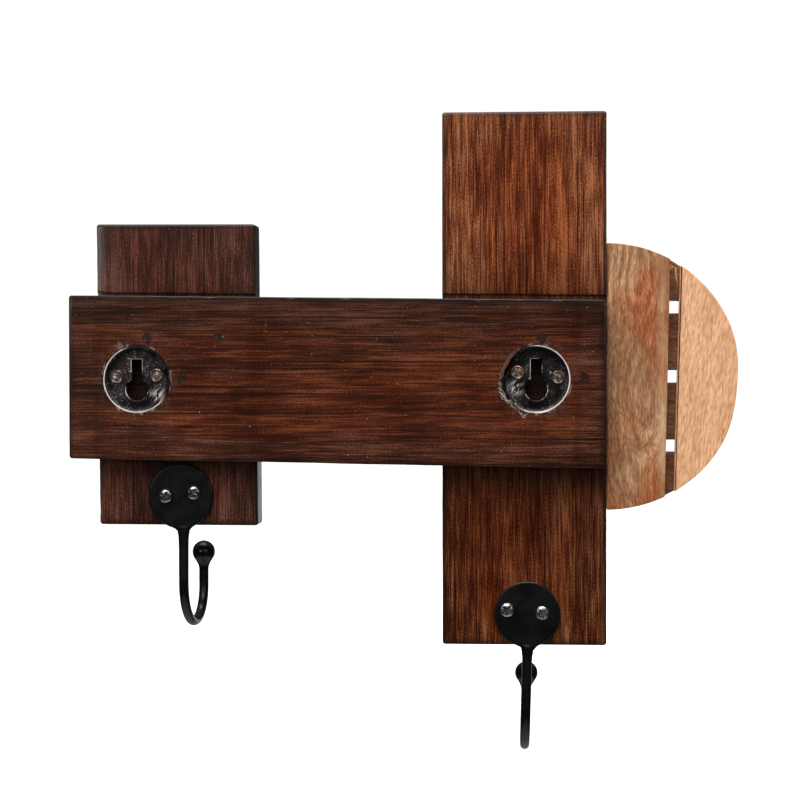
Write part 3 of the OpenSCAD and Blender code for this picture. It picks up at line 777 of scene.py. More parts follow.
class MakeRail(Maker):
    """The rail, with a round recess and a pocket for each hanger"""

    bl_idname = "rack.make_rail"
    bl_label = "Rail"

    def make(self):
        look, key = sizes("rack_boards"), sizes("rack_hangers")
        low, high = box("rail_board")
        ends, draw_in = end_stations(look["corner"])
        inner = np.arange(low[0] + 3, high[0] - 3, 1.5)
        along = np.concatenate([low[0] + ends, inner, (high[0] - ends)[::-1]])
        inset = np.concatenate([draw_in, 0 * inner, draw_in[::-1]])
        run = (high[0] - along) / (high[0] - low[0])
        top = high[2] - look["top_fall"] * run - inset
        foot = low[2] + look["foot_fall"] * (1 - run) + inset
        top += 0.03 * ripple(run, 5, 16) * (inset == 0)
        foot += 0.03 * ripple(run, 6, 16) * (inset == 0)
        thin = inset * look["arris"] / look["corner"]
        rings = board_rings(
            foot, top, low[1] + thin, high[1] - thin, worn_arris(along, look["arris"], 3, 9)
        )
        x = np.broadcast_to(along[:, None], rings.shape[:2])
        rail = shell_object("rail", [np.stack([x, rings[..., 1], rings[..., 0]], -1)])
        cutters, raw = [], []
        for node, broken, seed in (("tail_hanger_plate", 0.0, 11), ("wing_hanger_plate", 1.0, 12)):
            at, reach = middle(node), (box(node)[1] - box(node)[0])[0] / 2 + 0.5
            recess = self.recess_outline(at, reach, broken, seed)
            floor = box(node)[0][1]
            cutters.append(shell_object("recess", [slab(recess, 3, floor, 0.25, 0.4)]))
            pocket = self.pocket_outline(at, key)
            cutters.append(shell_object("pocket", [slab(pocket, floor + 0.5, -key["pocket"], 0.6, 0.4)]))
            raw.append(((float(at[0]), float(at[1])), reach, 1 - broken))
        cut_out(rail, cutters)
        centre = ((low + high) / 2)[[0, 2]]
        half = ((high - low) / 2)[[0, 2]] - (0, 1.8)
        finish = stained_wood(
            "stained_rail",
            "X",
            3,
            RAIL_TONES,
            (1.0, 0.72, 0.48, 1.0),
            centre,
            half,
            (look["top_fall"] + look["foot_fall"]) / 2 / (high[0] - low[0]),
            shade_x=RAIL_SHADES_X,
            shade_z=RAIL_SHADES_Z,
            hangers=raw,
        )
        settle(rail, finish, ["rail_board"], 42)
        self.fibres(raw)

    def recess_outline(self, at, reach, broken, seed):
        """The recess seen from behind: a circle whose rim wanders a little, and bulges out where it is
        broken."""
        a = np.linspace(0, TAU, 360, endpoint=False)
        torn = 0.04 * ripple(a / TAU, seed, 40, 0.2)
        r = reach + torn + broken * self.break_out(a)
        return at + np.stack([np.cos(a), np.sin(a)], 1) * r[:, None]

    def break_out(self, a):
        """How far the broken rim lies outside the circle at angles a: a flat-topped bulge and a narrow
        nub, both bell curves."""
        turn = (np.degrees(a) + 180) % 360 - 180
        return 1.2 * np.exp(-(((turn + 20) / 25) ** 4)) + 2.3 * np.exp(-(((turn + 71) / 7) ** 2))

    def pocket_outline(self, at, key):
        """A slot with two round ends, from the keyhole's round hole up behind its slot."""
        r = key["hole"] + 1.6
        a = np.linspace(0, math.pi, 25)
        low, high = -key["hole_drop"], key["slot_top"] - r / 2
        upper = np.stack([r * np.cos(a), high + r * np.sin(a)], 1)
        lower = np.stack([-r * np.cos(a), low - r * np.sin(a)], 1)
        return at + np.vstack([upper, lower])

    def fibres(self, raw):
        """Torn wood round the wing hanger: burrs that follow the broken rim, slivers along it, and a
        tongue over the plate's edge. A burr is a tube whose radius and height wander; a sliver tapers
        to its tip."""
        draw = np.random.default_rng(21)
        upright = np.array([0.0, 1.0, 0.0])
        (x, z), reach, _ = raw[1]
        shells = []
        for extra, thick, low, high in BURRS:
            t = np.linspace(0, 1, 80)
            a = np.radians(low + (high - low) * t)
            r = reach + self.break_out(a) + extra + 0.14 * ripple(t, int(extra * 20) + 90, 25, 0.3)
            y = -0.05 + 0.06 * ripple(t, int(extra * 20) + 95, 20, 0.3)
            path = np.stack([x + r * np.cos(a), y, z + r * np.sin(a)], 1)
            fat = thick * (
                1 + 0.35 * ripple(t, int(extra * 20) + 99, 30, 0.2)
            ).clip(0.15, 2.2) * np.sin(math.pi * (0.04 + 0.92 * t)) ** 0.3
            shells.append(tube(path, upright, fat, 6))
        for _ in range(60):
            a = math.radians(draw.uniform(-80, 12))
            rim = reach + float(self.break_out(np.array(a))) + draw.uniform(-1.2, 0.9)
            start = np.array([x + rim * math.cos(a), -0.10, z + rim * math.sin(a)])
            lean = a + math.pi / 2 + draw.normal(0, 0.35)
            tip = np.array(
                [math.cos(lean), draw.uniform(-0.02, 0.10), math.sin(lean)]
            ) * draw.uniform(0.6, 2.2)
            t = np.linspace(0, 1, 5)
            path = start + t[:, None] * tip + np.array([0, 0.12, 0]) * (t * (1 - t) * 4)[:, None]
            shells.append(tube(path, upright, draw.uniform(0.05, 0.12) * (1 - t) ** 0.7 + 0.012, 6))
        chips = shell_object("recess_fibres", shells)
        settle(
            chips, bare_wood("torn_wood_fibres", 61, TORN_TONES, 1.0, 0, 0.6), [], 60
        )
        a = np.radians(np.linspace(-6, 66, 90))
        edge = 15.9 / np.cos(a - math.radians(30)) + 0.16 * ripple(np.linspace(0, 1, 90), 77, 40, 0.2)
        edge = np.minimum(edge, reach + 0.1)
        ray = np.stack([np.cos(a), np.sin(a)], 1)
        outline = np.vstack([ray * (reach + 0.5), (ray * edge[:, None])[::-1]]) + (x, z)
        tongue = shell_object("torn_tongue", [slab(even_outline(outline, 0.35), 0.02, -0.5, 0.1, 0.05, 2)])
        settle(
            tongue, bare_wood("torn_wood_tongue", 66, RAIL_TONES, 1.0, 35, 0.5), [], 60
        )


class MakeUprights(Maker):
    """The tail board and the wing board, each with a shallow housing across its back"""

    bl_idname = "rack.make_uprights"
    bl_label = "Upright boards"

    def make(self):
        look = sizes("rack_boards")
        rail_low, rail_high = box("rail_board")
        span = rail_high[0] - rail_low[0]
        slopes = look["foot_fall"] / span, look["top_fall"] / span
        for node, gap, lean, fall, tones, warm, seed in (
            (
                "tail_board", look["tail_gap"], look["lean"], look["fall"], TAIL_TONES,
                (1.0, 0.82, 0.70, 1.0), 31,
            ),
            ("wing_board", look["wing_gap"], 0.0, 0.0, WING_TONES, (1.0, 0.80, 0.62, 1.0), 47),
        ):
            low, high = box(node)
            x = (low[0] + high[0]) / 2
            foot = rail_low[2] + slopes[0] * (x - rail_low[0])
            top = rail_high[2] - slopes[1] * (rail_high[0] - x) + gap
            z, inset, back = self.stations(low + (0, 0, fall / 2), high - (0, 0, fall / 2), foot, top, look)
            slope = np.interp(
                z, [low[2], foot, top, high[2]],
                [fall / (high[0] - low[0]), *slopes, fall / (high[0] - low[0])],
            )
            run = (z - low[2]) / (high[2] - low[2])
            left = low[0] + lean * run + inset + 0.03 * ripple(run, seed, 16) * (inset == 0)
            right = high[0] - lean * (1 - run) - inset + 0.03 * ripple(run, seed + 1, 16) * (inset == 0)
            thin = inset * look["arris"] / look["corner"]
            arris = worn_arris(z, look["arris"], seed, 8)
            deep = back < high[1] - look["housing"] / 2
            arris[:, :2] = np.where(deep[:, None], 0.12, arris[:, :2])
            rings = board_rings(left, right, low[1] + thin, back - thin, arris)
            height = z[:, None] + slope[:, None] * (rings[..., 0] - x)
            board = shell_object(
                node.replace("board", "upright"), [np.stack([rings[..., 0], rings[..., 1], height], -1)]
            )
            centre, half = ((low + high) / 2)[[0, 2]], ((high - low) / 2)[[0, 2]]
            finish = stained_wood(
                "stained_" + node, "Z", seed, tones, warm, centre, half,
                shade_z=self.shades(node, foot, top),
            )
            settle(board, finish, [node], 42)

    def stations(self, low, high, foot, top, look):
        """Places of the rings up a board with how far each draws in and where its back lies: rounded
        ends, and two shoulders that turn over a small quarter circle and drop straight into the
        housing."""
        full = high[1]
        deep = full - look["housing"]
        ends, draw_in = end_stations(look["corner"])
        over = 0.4
        turn = np.linspace(0, math.pi / 2, 4)
        round_z, round_y = over * (1 - np.cos(turn)), full - over * (1 - np.sin(turn))
        lower = np.arange(low[2] + 3, foot - over - 0.5, 1.5)
        inner = np.concatenate([[foot + 0.5], np.arange(foot + 4, top - 3, 6.0), [top - 0.5]])
        upper = np.arange(top + over + 1, high[2] - 3, 1.5)
        parts = (
            (low[2] + ends, draw_in, full),
            (lower, 0, full),
            ((foot - round_z)[::-1], 0, round_y[::-1]),
            ([foot], 0, deep),
            (inner, 0, deep),
            ([top], 0, deep),
            (top + round_z, 0, round_y),
            (upper, 0, full),
            ((high[2] - ends)[::-1], draw_in[::-1], full),
        )
        table = [np.broadcast_arrays(np.asarray(z, float), inset, back) for z, inset, back in parts]
        return (np.concatenate([row[k] for row in table]).astype(float) for k in range(3))

    def shades(self, node, foot, top):
        """Levels of grey up a board: painted shade beside the rail, darkest right next to it, and on the
        wing board a darker tone of its own wood below the rail."""
        if node == "tail_board":
            return ((-78, 1.0), (foot, 1.0), (top, 0.6), (top + 5, 0.75), (top + 14, 0.82), (84, 0.78))
        return (
            (-142, 0.62), (foot - 25, 0.56), (foot - 5, 0.42), (top, 0.4), (top + 4, 0.6), (top + 22, 0.86),
            (90, 1.0), (143, 0.97),
        )


class MakeNose(Maker):
    """The half round nose: two battens, four slats across them and some torn splinters in the slit"""

    bl_idname = "rack.make_nose"
    bl_label = "Half round nose"

    def make(self):
        look = sizes("rack_nose")
        wing_edge = box("wing_board")[0][0]
        slats = ["nose_top_slat", "nose_upper_slat", "nose_lower_slat", "nose_bottom_slat"]
        height = (box(slats[0])[1][2] + box(slats[3])[0][2]) / 2
        hub = np.array([wing_edge, height])
        disc = [(1.0, 0.0, wing_edge)]
        inner = bare_wood(
            "brown_mango", 71, INNER_TONES, 7.0, 0.0, 0.5,
            streaks=(
                (((-178, 0.0), (-173, 0.7), (-169, 0.0)), (192, 160, 122)),
                # A dark band where the batten meets the wing board: stain, deepened as painted shade of the
                # joint
                (((-144.8, 0.0), (-143.9, 1.0), (-143.3, 1.0)), (62, 32, 20)),
            ),
            hearts=((-163.0, -14.0), (-158.0, 62.0)),
            red=(1.0, 0.62, 0.46, 1.0),
        )
        outer = bare_wood("pale_mango", 83, OUTER_TONES, 1.6, 9.0, 0.75)
        for node, near, far, lean, finish, slot in (
            ("nose_inner_batten", -5.0, 32.4, 1.25, inner, "brown_mango_wood"),
            ("nose_outer_batten", 37.5, 90.0, 1.6, outer, "pale_mango_wood"),
        ):
            side = np.array([math.cos(math.radians(lean)), math.sin(math.radians(lean))])
            reach = hub @ side
            limits = disc + [(*side, reach - near), (*-side, far - reach)]
            low, high = box(node)
            outline = self.outline(hub, look, limits, ((low + high) / 2)[[0, 2]])
            self.sawn(node, outline, low, high, look, finish, slot)
        slat_wood = bare_wood("slat_mango", 97, SLAT_TONES, 3.0, 90.0, 0.4)
        for node in slats:
            low, high = box(node)
            limits = disc + [(0.0, 1.0, high[2]), (0.0, -1.0, -low[2])]
            outline = self.outline(hub, look, limits, (wing_edge - 20, (low[2] + high[2]) / 2))
            self.sawn(node, outline, low, high, look, slat_wood, "slat_mango_wood")
        self.splinters(outer)

    def outline(self, hub, look, limits, inside):
        """A convex outline: along each ray from a point inside, the nearest of a circle and some
        straight sides (nx, nz, reach). Points near the tip are then drawn in towards the hub, by a
        bell curve of their direction."""
        radius = look["radius"]
        a = np.linspace(0, TAU, 1440, endpoint=False)
        ray = np.stack([np.cos(a), np.sin(a)], 1)
        inside = np.asarray(inside, float)
        offset = inside - hub
        lean = ray @ offset
        nearest = -lean + np.sqrt(radius**2 - offset @ offset + lean**2)
        for nx, nz, reach in limits:
            facing = ray @ (nx, nz)
            gap = reach - inside @ (nx, nz)
            nearest = np.minimum(nearest, np.where(facing > 1e-6, gap / np.maximum(facing, 1e-6), 1e9))
        spoke = inside + ray * nearest[:, None] - hub
        away = np.linalg.norm(spoke, axis=1)
        turn = np.degrees(np.arctan2(-spoke[:, 1], -spoke[:, 0]))
        limit = radius - look["worn"] * np.exp(-(((turn - 5) / 17) ** 2))
        return even_outline(hub + spoke * np.minimum(1, limit / away.clip(1e-6))[:, None], 0.8)

    def sawn(self, node, outline, low, high, look, finish, slot):
        """One batten or slat, its edges a little worn."""
        run = np.linspace(0, 1, len(outline), endpoint=False)
        seed = sum(map(ord, node))
        arris = look["arris"] * (1 + 0.12 * ripple(run, seed, 20)).clip(0.4, 1.8)
        outline = outline + mitred(outline) * (0.03 * ripple(run, seed + 1, 24))[:, None]
        piece = shell_object(
            node.replace("nose", "half_round"), [slab(outline, high[1], low[1], arris, 0.5, 3)]
        )
        settle(piece, finish, [node], 42)

    def splinters(self, finish):
        """Pale splinters torn off the outer batten's top: thin six-sided slivers that bow out and taper
        to a point."""
        low, high = box("nose_outer_batten")
        top = np.array([high[0], high[1], high[2]])
        shells = []
        for dx, dz, lean, size, thick in SPLINTERS:
            t = np.linspace(0, 1, 9)
            a = math.radians(lean)
            down = np.array([math.sin(a), -0.06, -math.cos(a)]) * size
            bow = np.array([0.9, -0.5, 0.0]) * (t * (1 - t) * 2.2)[:, None]
            path = top + (dx, -1.6, dz) + t[:, None] * down + bow
            shells.append(tube(path, np.array([0.0, 1.0, 0.0]), thick * (1 - t**1.5) + 0.03, 6))
        settle(shell_object("slit_splinters", shells), finish, [], 50)


class MakeHangers(Maker):
    """The two keyhole hanger plates, pressed from steel with a rolled rim"""

    bl_idname = "rack.make_hangers"
    bl_label = "Keyhole hangers"

    def make(self):
        look = sizes("rack_hangers")
        # glint points across each plate to the side where its rim gets a painted highlight
        for node, slit, glint, seed in (
            ("tail_hanger_plate", (-11.2, -8.0), (0.8, -0.6), 5),
            ("wing_hanger_plate", (10.6, -4.4), (-0.97, -0.2), 8),
        ):
            at, (low, high) = middle(node), box(node)
            plate = shell_object(
                node.replace("_plate", ""), [self.plate(at, low, high, look, seed)], looped=True
            )
            a = np.linspace(0, TAU, 24, endpoint=False)
            oval = at + slit + np.stack([0.5 * np.cos(a), 2.3 * np.sin(a)], 1)
            cut_out(plate, [shell_object("slit", [slab(oval, 1, low[1] - 1, 0.05, 0.1, 1)])])
            steel = self.steel(at, slit, glint, look, seed)
            settle(plate, steel, [node], 50)

    def plate(self, at, low, high, look, seed):
        """Rings round the keyhole. From the hole outwards each ring lies between the keyhole's outline
        and the plate's rim along rays from a point in the hole; its height turns over at the hole's
        lip, stays flat, rolls over the rim and comes back underneath."""
        reach = (high[0] - low[0]) / 2 + 0.35
        flat, under = high[1] - 0.5, low[1]
        heart = np.array([0.0, -2.0])
        corner = math.atan2(look["slot_top"] + 2, look["slot"])
        marks = np.array([corner, math.pi - corner])
        a = np.sort(
            np.concatenate([np.linspace(0, TAU, 250, endpoint=False), marks, marks + 0.01, marks - 0.01])
        )
        ray = np.stack([np.cos(a), np.sin(a)], 1)
        drop = np.array([0.0, -look["hole_drop"]]) - heart
        hole = ray @ drop + np.sqrt(look["hole"] ** 2 - drop @ drop + (ray @ drop) ** 2)
        up = np.maximum(ray[:, 1], 1e-6)
        slot = np.minimum(
            look["slot"] / np.maximum(np.abs(ray[:, 0]), 1e-6), (look["slot_top"] - heart[1]) / up
        )
        key = np.where(ray[:, 1] > 0, np.maximum(hole, slot), hole)
        lean = ray @ heart
        rim = -lean + np.sqrt(reach**2 - heart @ heart + lean**2)
        rim = rim + 0.05 * ripple(a / TAU, seed, 12)
        roll = 0.5
        turn = np.radians(np.linspace(0, 180, 9))
        steps = [
            (0.0, 0.0, under + 0.25), (0.0, 0.0, flat - 0.35), (0.0, 0.08, flat - 0.1),
            (0.0, 0.3, flat + 0.04), (0.0, 0.6, flat + 0.03), (0.0, 1.0, flat),
        ]
        steps += [(m, 0.0, flat + 0.05 * math.sin(m * 9)) for m in (0.3, 0.45, 0.6, 0.75)]
        steps += [
            (1.0, -roll * (1.2 + math.cos(t)) - 0.05, flat + (high[1] - flat) * math.sin(t) ** 0.8)
            for t in turn[1:5]
        ]
        steps += [(1.0, -roll * (1 + math.cos(t)), high[1] - roll * (1 - math.sin(t))) for t in turn[5:]]
        steps += [
            (1.0, -0.02, under + 0.5), (1.0, -0.3, under + 0.1), (1.0, -0.8, under), (0.5, 0.0, under),
            (0.0, 0.3, under),
        ]
        blend, shift, y = (np.array(column) for column in zip(*steps))
        r = key * (1 - blend[:, None]) + rim * blend[:, None] + shift[:, None]
        dents = 0.03 * ripple(a / TAU, seed + 3, 7) * (1 - np.abs(2 * blend[:, None] - 1))
        x, z = (at[k] + heart[k] + r * ray[:, k] for k in (0, 1))
        return np.stack([x, y[:, None] + dents, z], -1)

    def steel(self, at, slit, glint, look, seed):
        """Dark tarnished steel, painted pale in places: a painted highlight along the rim on the side
        that glint points to, and on the keyhole's lip, where it also stands for rubbed metal; rubbed
        metal on the slit's lips and in scuffs beside the slit. The lip is where the distance to the
        nearer of the keyhole's circle and bar is small."""
        f = Finish(f"hanger_steel_{seed}")
        x, z = (float(v) for v in at)
        cloud = f.noise((110, 110, 110), seed, 4, 0.65)
        grit = f.noise((1500, 1500, 1500), seed + 3, 2, 0.6)
        scratch = f.noise((1900, 400, 260), seed + 1, 2, 0.5, 0.0, (0, 0.6, 0))
        hole = f.math("SUBTRACT", f.distance(x, z - look["hole_drop"]), look["hole"] * MM)
        place = f.axes()
        aside = f.math(
            "SUBTRACT", f.math("ABSOLUTE", f.math("SUBTRACT", place[0], x * MM)), look["slot"] * MM
        )
        over = f.math("SUBTRACT", place[2], (z + look["slot_top"]) * MM)
        under = f.math("SUBTRACT", (z - 2) * MM, place[2])
        bar = f.math("MAXIMUM", f.math("MAXIMUM", aside, over), under)
        # The keyhole's lip and the rim are painted pale as painted highlights; at the lip this also stands
        # for rubbed metal
        lip = f.fit(f.math("MINIMUM", hole, bar), 0.00042, 0.00008)
        edge = f.fit(f.distance(x, z), 0.0171, 0.0176)
        near = f.distance(x + float(slit[0]), z + float(slit[1]))
        shine = f.math("MULTIPLY", f.fit(near, 0.0062, 0.0012), f.fit(scratch, 0.46, 0.62))
        sideways = f.math("MULTIPLY", f.math("SUBTRACT", place[0], x * MM), glint[0])
        toward = f.add(
            "Math", {0: f.math("SUBTRACT", place[2], z * MM), 1: glint[1], 2: sideways},
            operation="MULTIPLY_ADD",
        ).outputs[0]
        # The rim's painted highlight is kept to the side that glint points to
        edge = f.math("MULTIPLY", edge, f.fit(toward, -0.0085, -0.001))
        lip = f.math("MULTIPLY", lip, f.fit(cloud, 0.44, 0.56))
        bright = f.math("MAXIMUM", f.math("MAXIMUM", lip, edge), f.math("MULTIPLY", shine, 0.7))
        specks = f.math("MULTIPLY", f.fit(grit, 0.63, 0.70), f.fit(cloud, 0.40, 0.60, 0.1, 0.7))
        bright = f.math("MAXIMUM", bright, specks)
        tarnish = f.blend(f.fit(cloud, 0.35, 0.70), look["steel"], screen(62, 56, 56))
        f.set("Base Color", f.blend(bright, tarnish, screen(226, 218, 212)))
        # Where it is painted pale the steel is less metallic, so the painted highlights stay bright whatever
        # lights them
        f.set("Metallic", f.math("SUBTRACT", 1.0, f.math("MULTIPLY", bright, 0.85)))
        f.set(
            "Roughness", f.math("ADD", f.fit(cloud, 0.3, 0.7, 0.30, 0.42), f.math("MULTIPLY", bright, 0.15))
        )
        f.bump(f.sum((grit, 0.7), (cloud, 1.0), (scratch, 0.5)), 0.35, 0.1)
        return f.material


class MakeNails(Maker):
    """The four flat-headed nails that hold the hangers"""

    bl_idname = "rack.make_nails"
    bl_label = "Hanger nails"

    def make(self):
        look = sizes("rack_hangers")
        finish = self.finish(look)
        for node, shift, lift, tilt in (
            ("tail_hanger_nails", 0.0, 1.8, -1.8), ("wing_hanger_nails", -0.9, 2.3, 6.9)
        ):
            plate = middle(node.replace("nails", "plate"))
            low, high = box(node)
            shells = []
            for side in (-1, 1):
                reach = side * 10.75
                at = plate + (
                    shift + reach * math.cos(math.radians(tilt)),
                    lift + reach * math.sin(math.radians(tilt)),
                )
                head = high[1]
                profile = [
                    (0.05, low[1]), (0.7, low[1] + 2.2), (1.4, low[1] + 3.2), (1.4, head - 0.95),
                    (3.2, head - 0.9),
                ]
                profile += [
                    (3.46, head - 0.72), (3.5, head - 0.42), (3.4, head - 0.15), (3.15, head - 0.03),
                    (2.85, head - 0.1),
                ]
                profile += [
                    (2.5, head - 0.24), (2.0, head - 0.22), (1.2, head - 0.12), (0.5, head - 0.08),
                    (0.05, head - 0.08),
                ]
                a = np.linspace(0, 1, 48, endpoint=False)
                seed = int(at[0] * 10) % 97 + 3
                lobes = 1 + 0.012 * ripple(a, seed, 5) * (np.array([p[0] for p in profile])[:, None] > 1.5)
                rings = turned(profile, at, 48, lobes)
                dent = 0.05 * ripple(a, seed + 1, 3) * (np.array([p[0] for p in profile])[:, None] > 0.4)
                rings[5:, :, 1] = np.minimum(rings[5:, :, 1] + dent[5:], head + 0.05)
                shells.append(rings)
            settle(shell_object(node, shells), finish, [node], 50)

    def finish(self, look):
        """Coppery brown patina with brighter metal where it has worn through."""
        f = Finish("coppery_nail_heads", Metallic=0.85)
        cloud = f.noise((520, 520, 520), 17, 4, 0.65)
        wide = f.noise((95, 95, 95), 19, 1, 0.5)
        grit = f.noise((2100, 2100, 2100), 18, 2, 0.6)
        dull = f.ramp(
            cloud, [(0.33, screen(44, 36, 34)), (0.5, screen(84, 70, 64)), (0.70, screen(170, 156, 148))]
        )
        copper = f.ramp(
            cloud, [(0.33, screen(86, 52, 42)), (0.5, look["nail"]), (0.68, screen(206, 176, 160))]
        )
        f.set("Base Color", f.blend(f.fit(wide, 0.46, 0.56), dull, copper))
        f.set("Roughness", f.fit(grit, 0.3, 0.7, 0.30, 0.52))
        f.bump(f.sum((cloud, 1.0), (grit, 0.4)), 0.35, 0.12)
        return f.material


class MakeHooks(Maker):
    """The two hooks: a round screw plate drawn into a J rod that ends in a pear-shaped ball"""

    bl_idname = "rack.make_hooks"
    bl_label = "Ball-tipped hooks"

    def make(self):
        look = sizes("rack_hooks")
        coat = black_coat()
        for name, drop, turn, lean, shift in (
            ("tail", 70.0, 6.0, 0.0, -1.4), ("wing", 73.5, -1.0, 1.6, -0.6)
        ):
            plate, rod = f"{name}_hook_plate", f"{name}_hook_rod"
            at, (low, high) = middle(plate), box(plate)
            radius = (high[0] - low[0]) / 2
            outline = self.plate_outline(at, radius, shift)
            settle(
                shell_object(plate, [slab(outline, high[1], low[1], 0.6, 1.0, 5)]), coat,
                [plate], 45,
            )
            rings = self.rod(look, drop, radius, sum(map(ord, name)))
            tilt = Matrix.Rotation(math.radians(-lean), 3, "Y") @ Matrix.Rotation(math.radians(-turn), 3, "Z")
            rings = rings @ np.array(tilt).T + (at[0] + shift, (low[1] + high[1]) / 2, at[1])
            settle(shell_object(rod, [rings]), coat, [rod], 45)

    def plate_outline(self, at, radius, shift):
        """A circle that is drawn out at its foot: the ray's length grows by a bell curve of its distance
        from the rod's line."""
        a = np.linspace(0, TAU, 240, endpoint=False)
        aside = np.abs(radius * np.cos(a) - shift)
        drawn = (
            2.4 * np.exp(-((aside / 3.4) ** 3)) + 0.5 * np.exp(-((aside / 6.0) ** 2))
        ) * (np.sin(a) < 0)
        return at + np.stack([np.cos(a), np.sin(a)], 1) * (radius + drawn)[:, None]

    def rod(self, look, drop, radius, seed):
        """The J rod with the plate's middle at the origin. Its path runs down, through two quarter
        circles and up again; its radius flares at the lumpy weld, stays even, and swells through a
        taper into the ball."""
        r, ball = look["rod"], look["ball"]
        a, b = look["stem_bend"], look["arm_bend"]
        neck = radius - 1.6
        foot = drop - a
        down = np.concatenate([np.linspace(neck, neck + 12, 18), np.linspace(neck + 13, foot, 14)[:-1]])
        first = np.radians(np.linspace(180, 270, 26))[:-1]
        second = np.radians(np.linspace(270, 360, 22))[:-1]
        rise = -drop + look["ball_rise"]
        low = math.radians(33)
        start = -ball * math.sin(low) - 6.2
        t = np.linspace(0, 1, 9)[:-1]
        swell = np.radians(np.linspace(-33, 89, 22))
        up = rise + np.concatenate([start + t * 6.2, ball * np.sin(swell)])
        fat = np.concatenate(
            [r + (ball * math.cos(low) - r) * (1 - np.cos(t * math.pi / 2)), ball * np.cos(swell)]
        )
        straight = np.linspace(-drop + b, rise + start, 8)[:-1]
        out = np.concatenate(
            [
                0 * down, a + a * np.cos(first), a + b * np.cos(second),
                np.full(len(straight) + len(up), a + b),
            ]
        )
        high = np.concatenate(
            [-down, -drop + a + a * np.sin(first), -drop + b + b * np.sin(second), straight, up]
        )
        radii = np.concatenate([np.full(len(out) - len(up), r), fat])
        below = np.concatenate([down - neck, np.full(len(out) - len(down), 99.0)])
        radii = radii + 1.15 * np.exp(-((below / 4.6) ** 1.5))
        radii = radii * np.sqrt(1 - (1 - (below / 1.3).clip(0, 1)) ** 2 * 0.8)
        centres = np.stack([0 * out, -out, high], 1)
        round_it = np.linspace(0, 1, 32, endpoint=False)
        bead = 0.5 * ripple(round_it, seed, 4)[None] + 0.5 * ripple(below / 9.0, seed + 1, 7)[:, None]
        lumps = 1 + 0.045 * bead * np.exp(-((below / 5.0) ** 2))[:, None]
        return tube(centres, np.array([1.0, 0.0, 0.0]), radii, 32, lumps)


class MakeHookScrews(Maker):
    """The four cross-recess screws in the hooks' plates"""

    bl_idname = "rack.make_hook_screws"
    bl_label = "Hook screws"

    def make(self):
        look = sizes("rack_hooks")
        zinc = worn_steel("bright_zinc", look["zinc"], screen(74, 74, 78), 0.24, 0.6, 29)
        for node, places in (
            ("tail_hook_screws", ((8.1, 0.2, 25), (-7.2, 2.0, 38))),
            ("wing_hook_screws", ((10.7, 2.4, 40), (-8.0, 0.8, 50))),
        ):
            plate = middle(node.replace("screws", "plate"))
            seat = box(node.replace("screws", "plate"))[1][1]
            shells = [self.screw(plate + (dx, dz), seat, math.radians(turn)) for dx, dz, turn in places]
            settle(shell_object(node, shells), zinc, [node], 40)

    def screw(self, at, seat, turn):
        """Rings of one screw from the middle of its head outwards, over the edge and down the shank to
        the tip. The head is a dome, less a cross: the depth grows smoothly with the distance inside
        the nearer of two crossed bars with tapering ends."""
        a = np.linspace(0, TAU, 96, endpoint=False)
        r = np.concatenate([[0.02], np.linspace(0.12, 2.9, 25), np.linspace(3.0, 3.7, 6)])[:, None]
        u, v = np.abs(r * np.cos(a - turn)), np.abs(r * np.sin(a - turn))
        bars = np.minimum(np.maximum(u - 2.5, v - 0.5), np.maximum(v - 2.5, u - 0.5))
        well = ((0.16 - bars) / 0.5).clip(0, 1)
        cross = 1.5 * well**2 * (3 - 2 * well) * (1 - (r / 3.0).clip(0, 1) ** 2 * 0.5)
        dome = 2.3 * (1 - 0.42 * (r / 3.7) ** 4)
        y = seat + dome - cross
        skirt = [(3.74, 0.7), (3.7, 0.02), (1.9, -0.1), (1.88, -11.0), (1.2, -13.6), (0.25, -15.0)]
        edge = np.array(skirt)
        r = np.concatenate([np.broadcast_to(r, y.shape), np.broadcast_to(edge[:, :1], (len(edge), len(a)))])
        y = np.concatenate([y, np.broadcast_to(seat + edge[:, 1:], (len(edge), len(a)))])
        return np.stack([at[0] + r * np.cos(a), y, at[1] + r * np.sin(a)], -1)


class MakeFiller(Maker):
    """Filler smoothed over the sunk joint screws in the rail's back"""

    bl_idname = "rack.make_filler"
    bl_label = "Filler"

    def make(self):
        f = Finish("stained_filler", **{"Specular IOR Level": 0.1})
        cloud = f.noise((420, 420, 420), 51, 4, 0.65)
        grit = f.noise((1500, 1500, 1500), 52, 2, 0.6)
        f.set(
            "Base Color",
            f.ramp(
                cloud, [(0.3, screen(20, 11, 9)), (0.5, screen(36, 21, 17)), (0.72, screen(60, 38, 32))]
            ),
        )
        f.set("Roughness", f.fit(grit, 0.3, 0.7, 0.4, 0.62))
        f.bump(f.sum((cloud, 1.0), (grit, 0.6)), 0.4, 0.12)
        for node, places in (
            ("tail_filler_plugs", ((100.8, 23.0), (62.6, 23.2), (82.0, 0.9))),
            ("wing_filler_plugs", ((-108.7, 22.3), (-131.2, 2.0))),
        ):
            a = np.linspace(0, 1, 56, endpoint=False)
            shells = []
            for k, at in enumerate(places):
                lobes = 1 + 0.16 * ripple(a, k + 61, 12)
                profile = [
                    (0.05, -2.6), (2.4, -2.6), (2.6, -0.2), (2.5, 0.0), (2.2, 0.03), (1.8, 0.02),
                    (1.2, 0.0), (0.05, 0.01),
                ]
                shells.append(turned(profile, at, 56, lobes))
            settle(shell_object(node, shells), f.material, [node], 50)


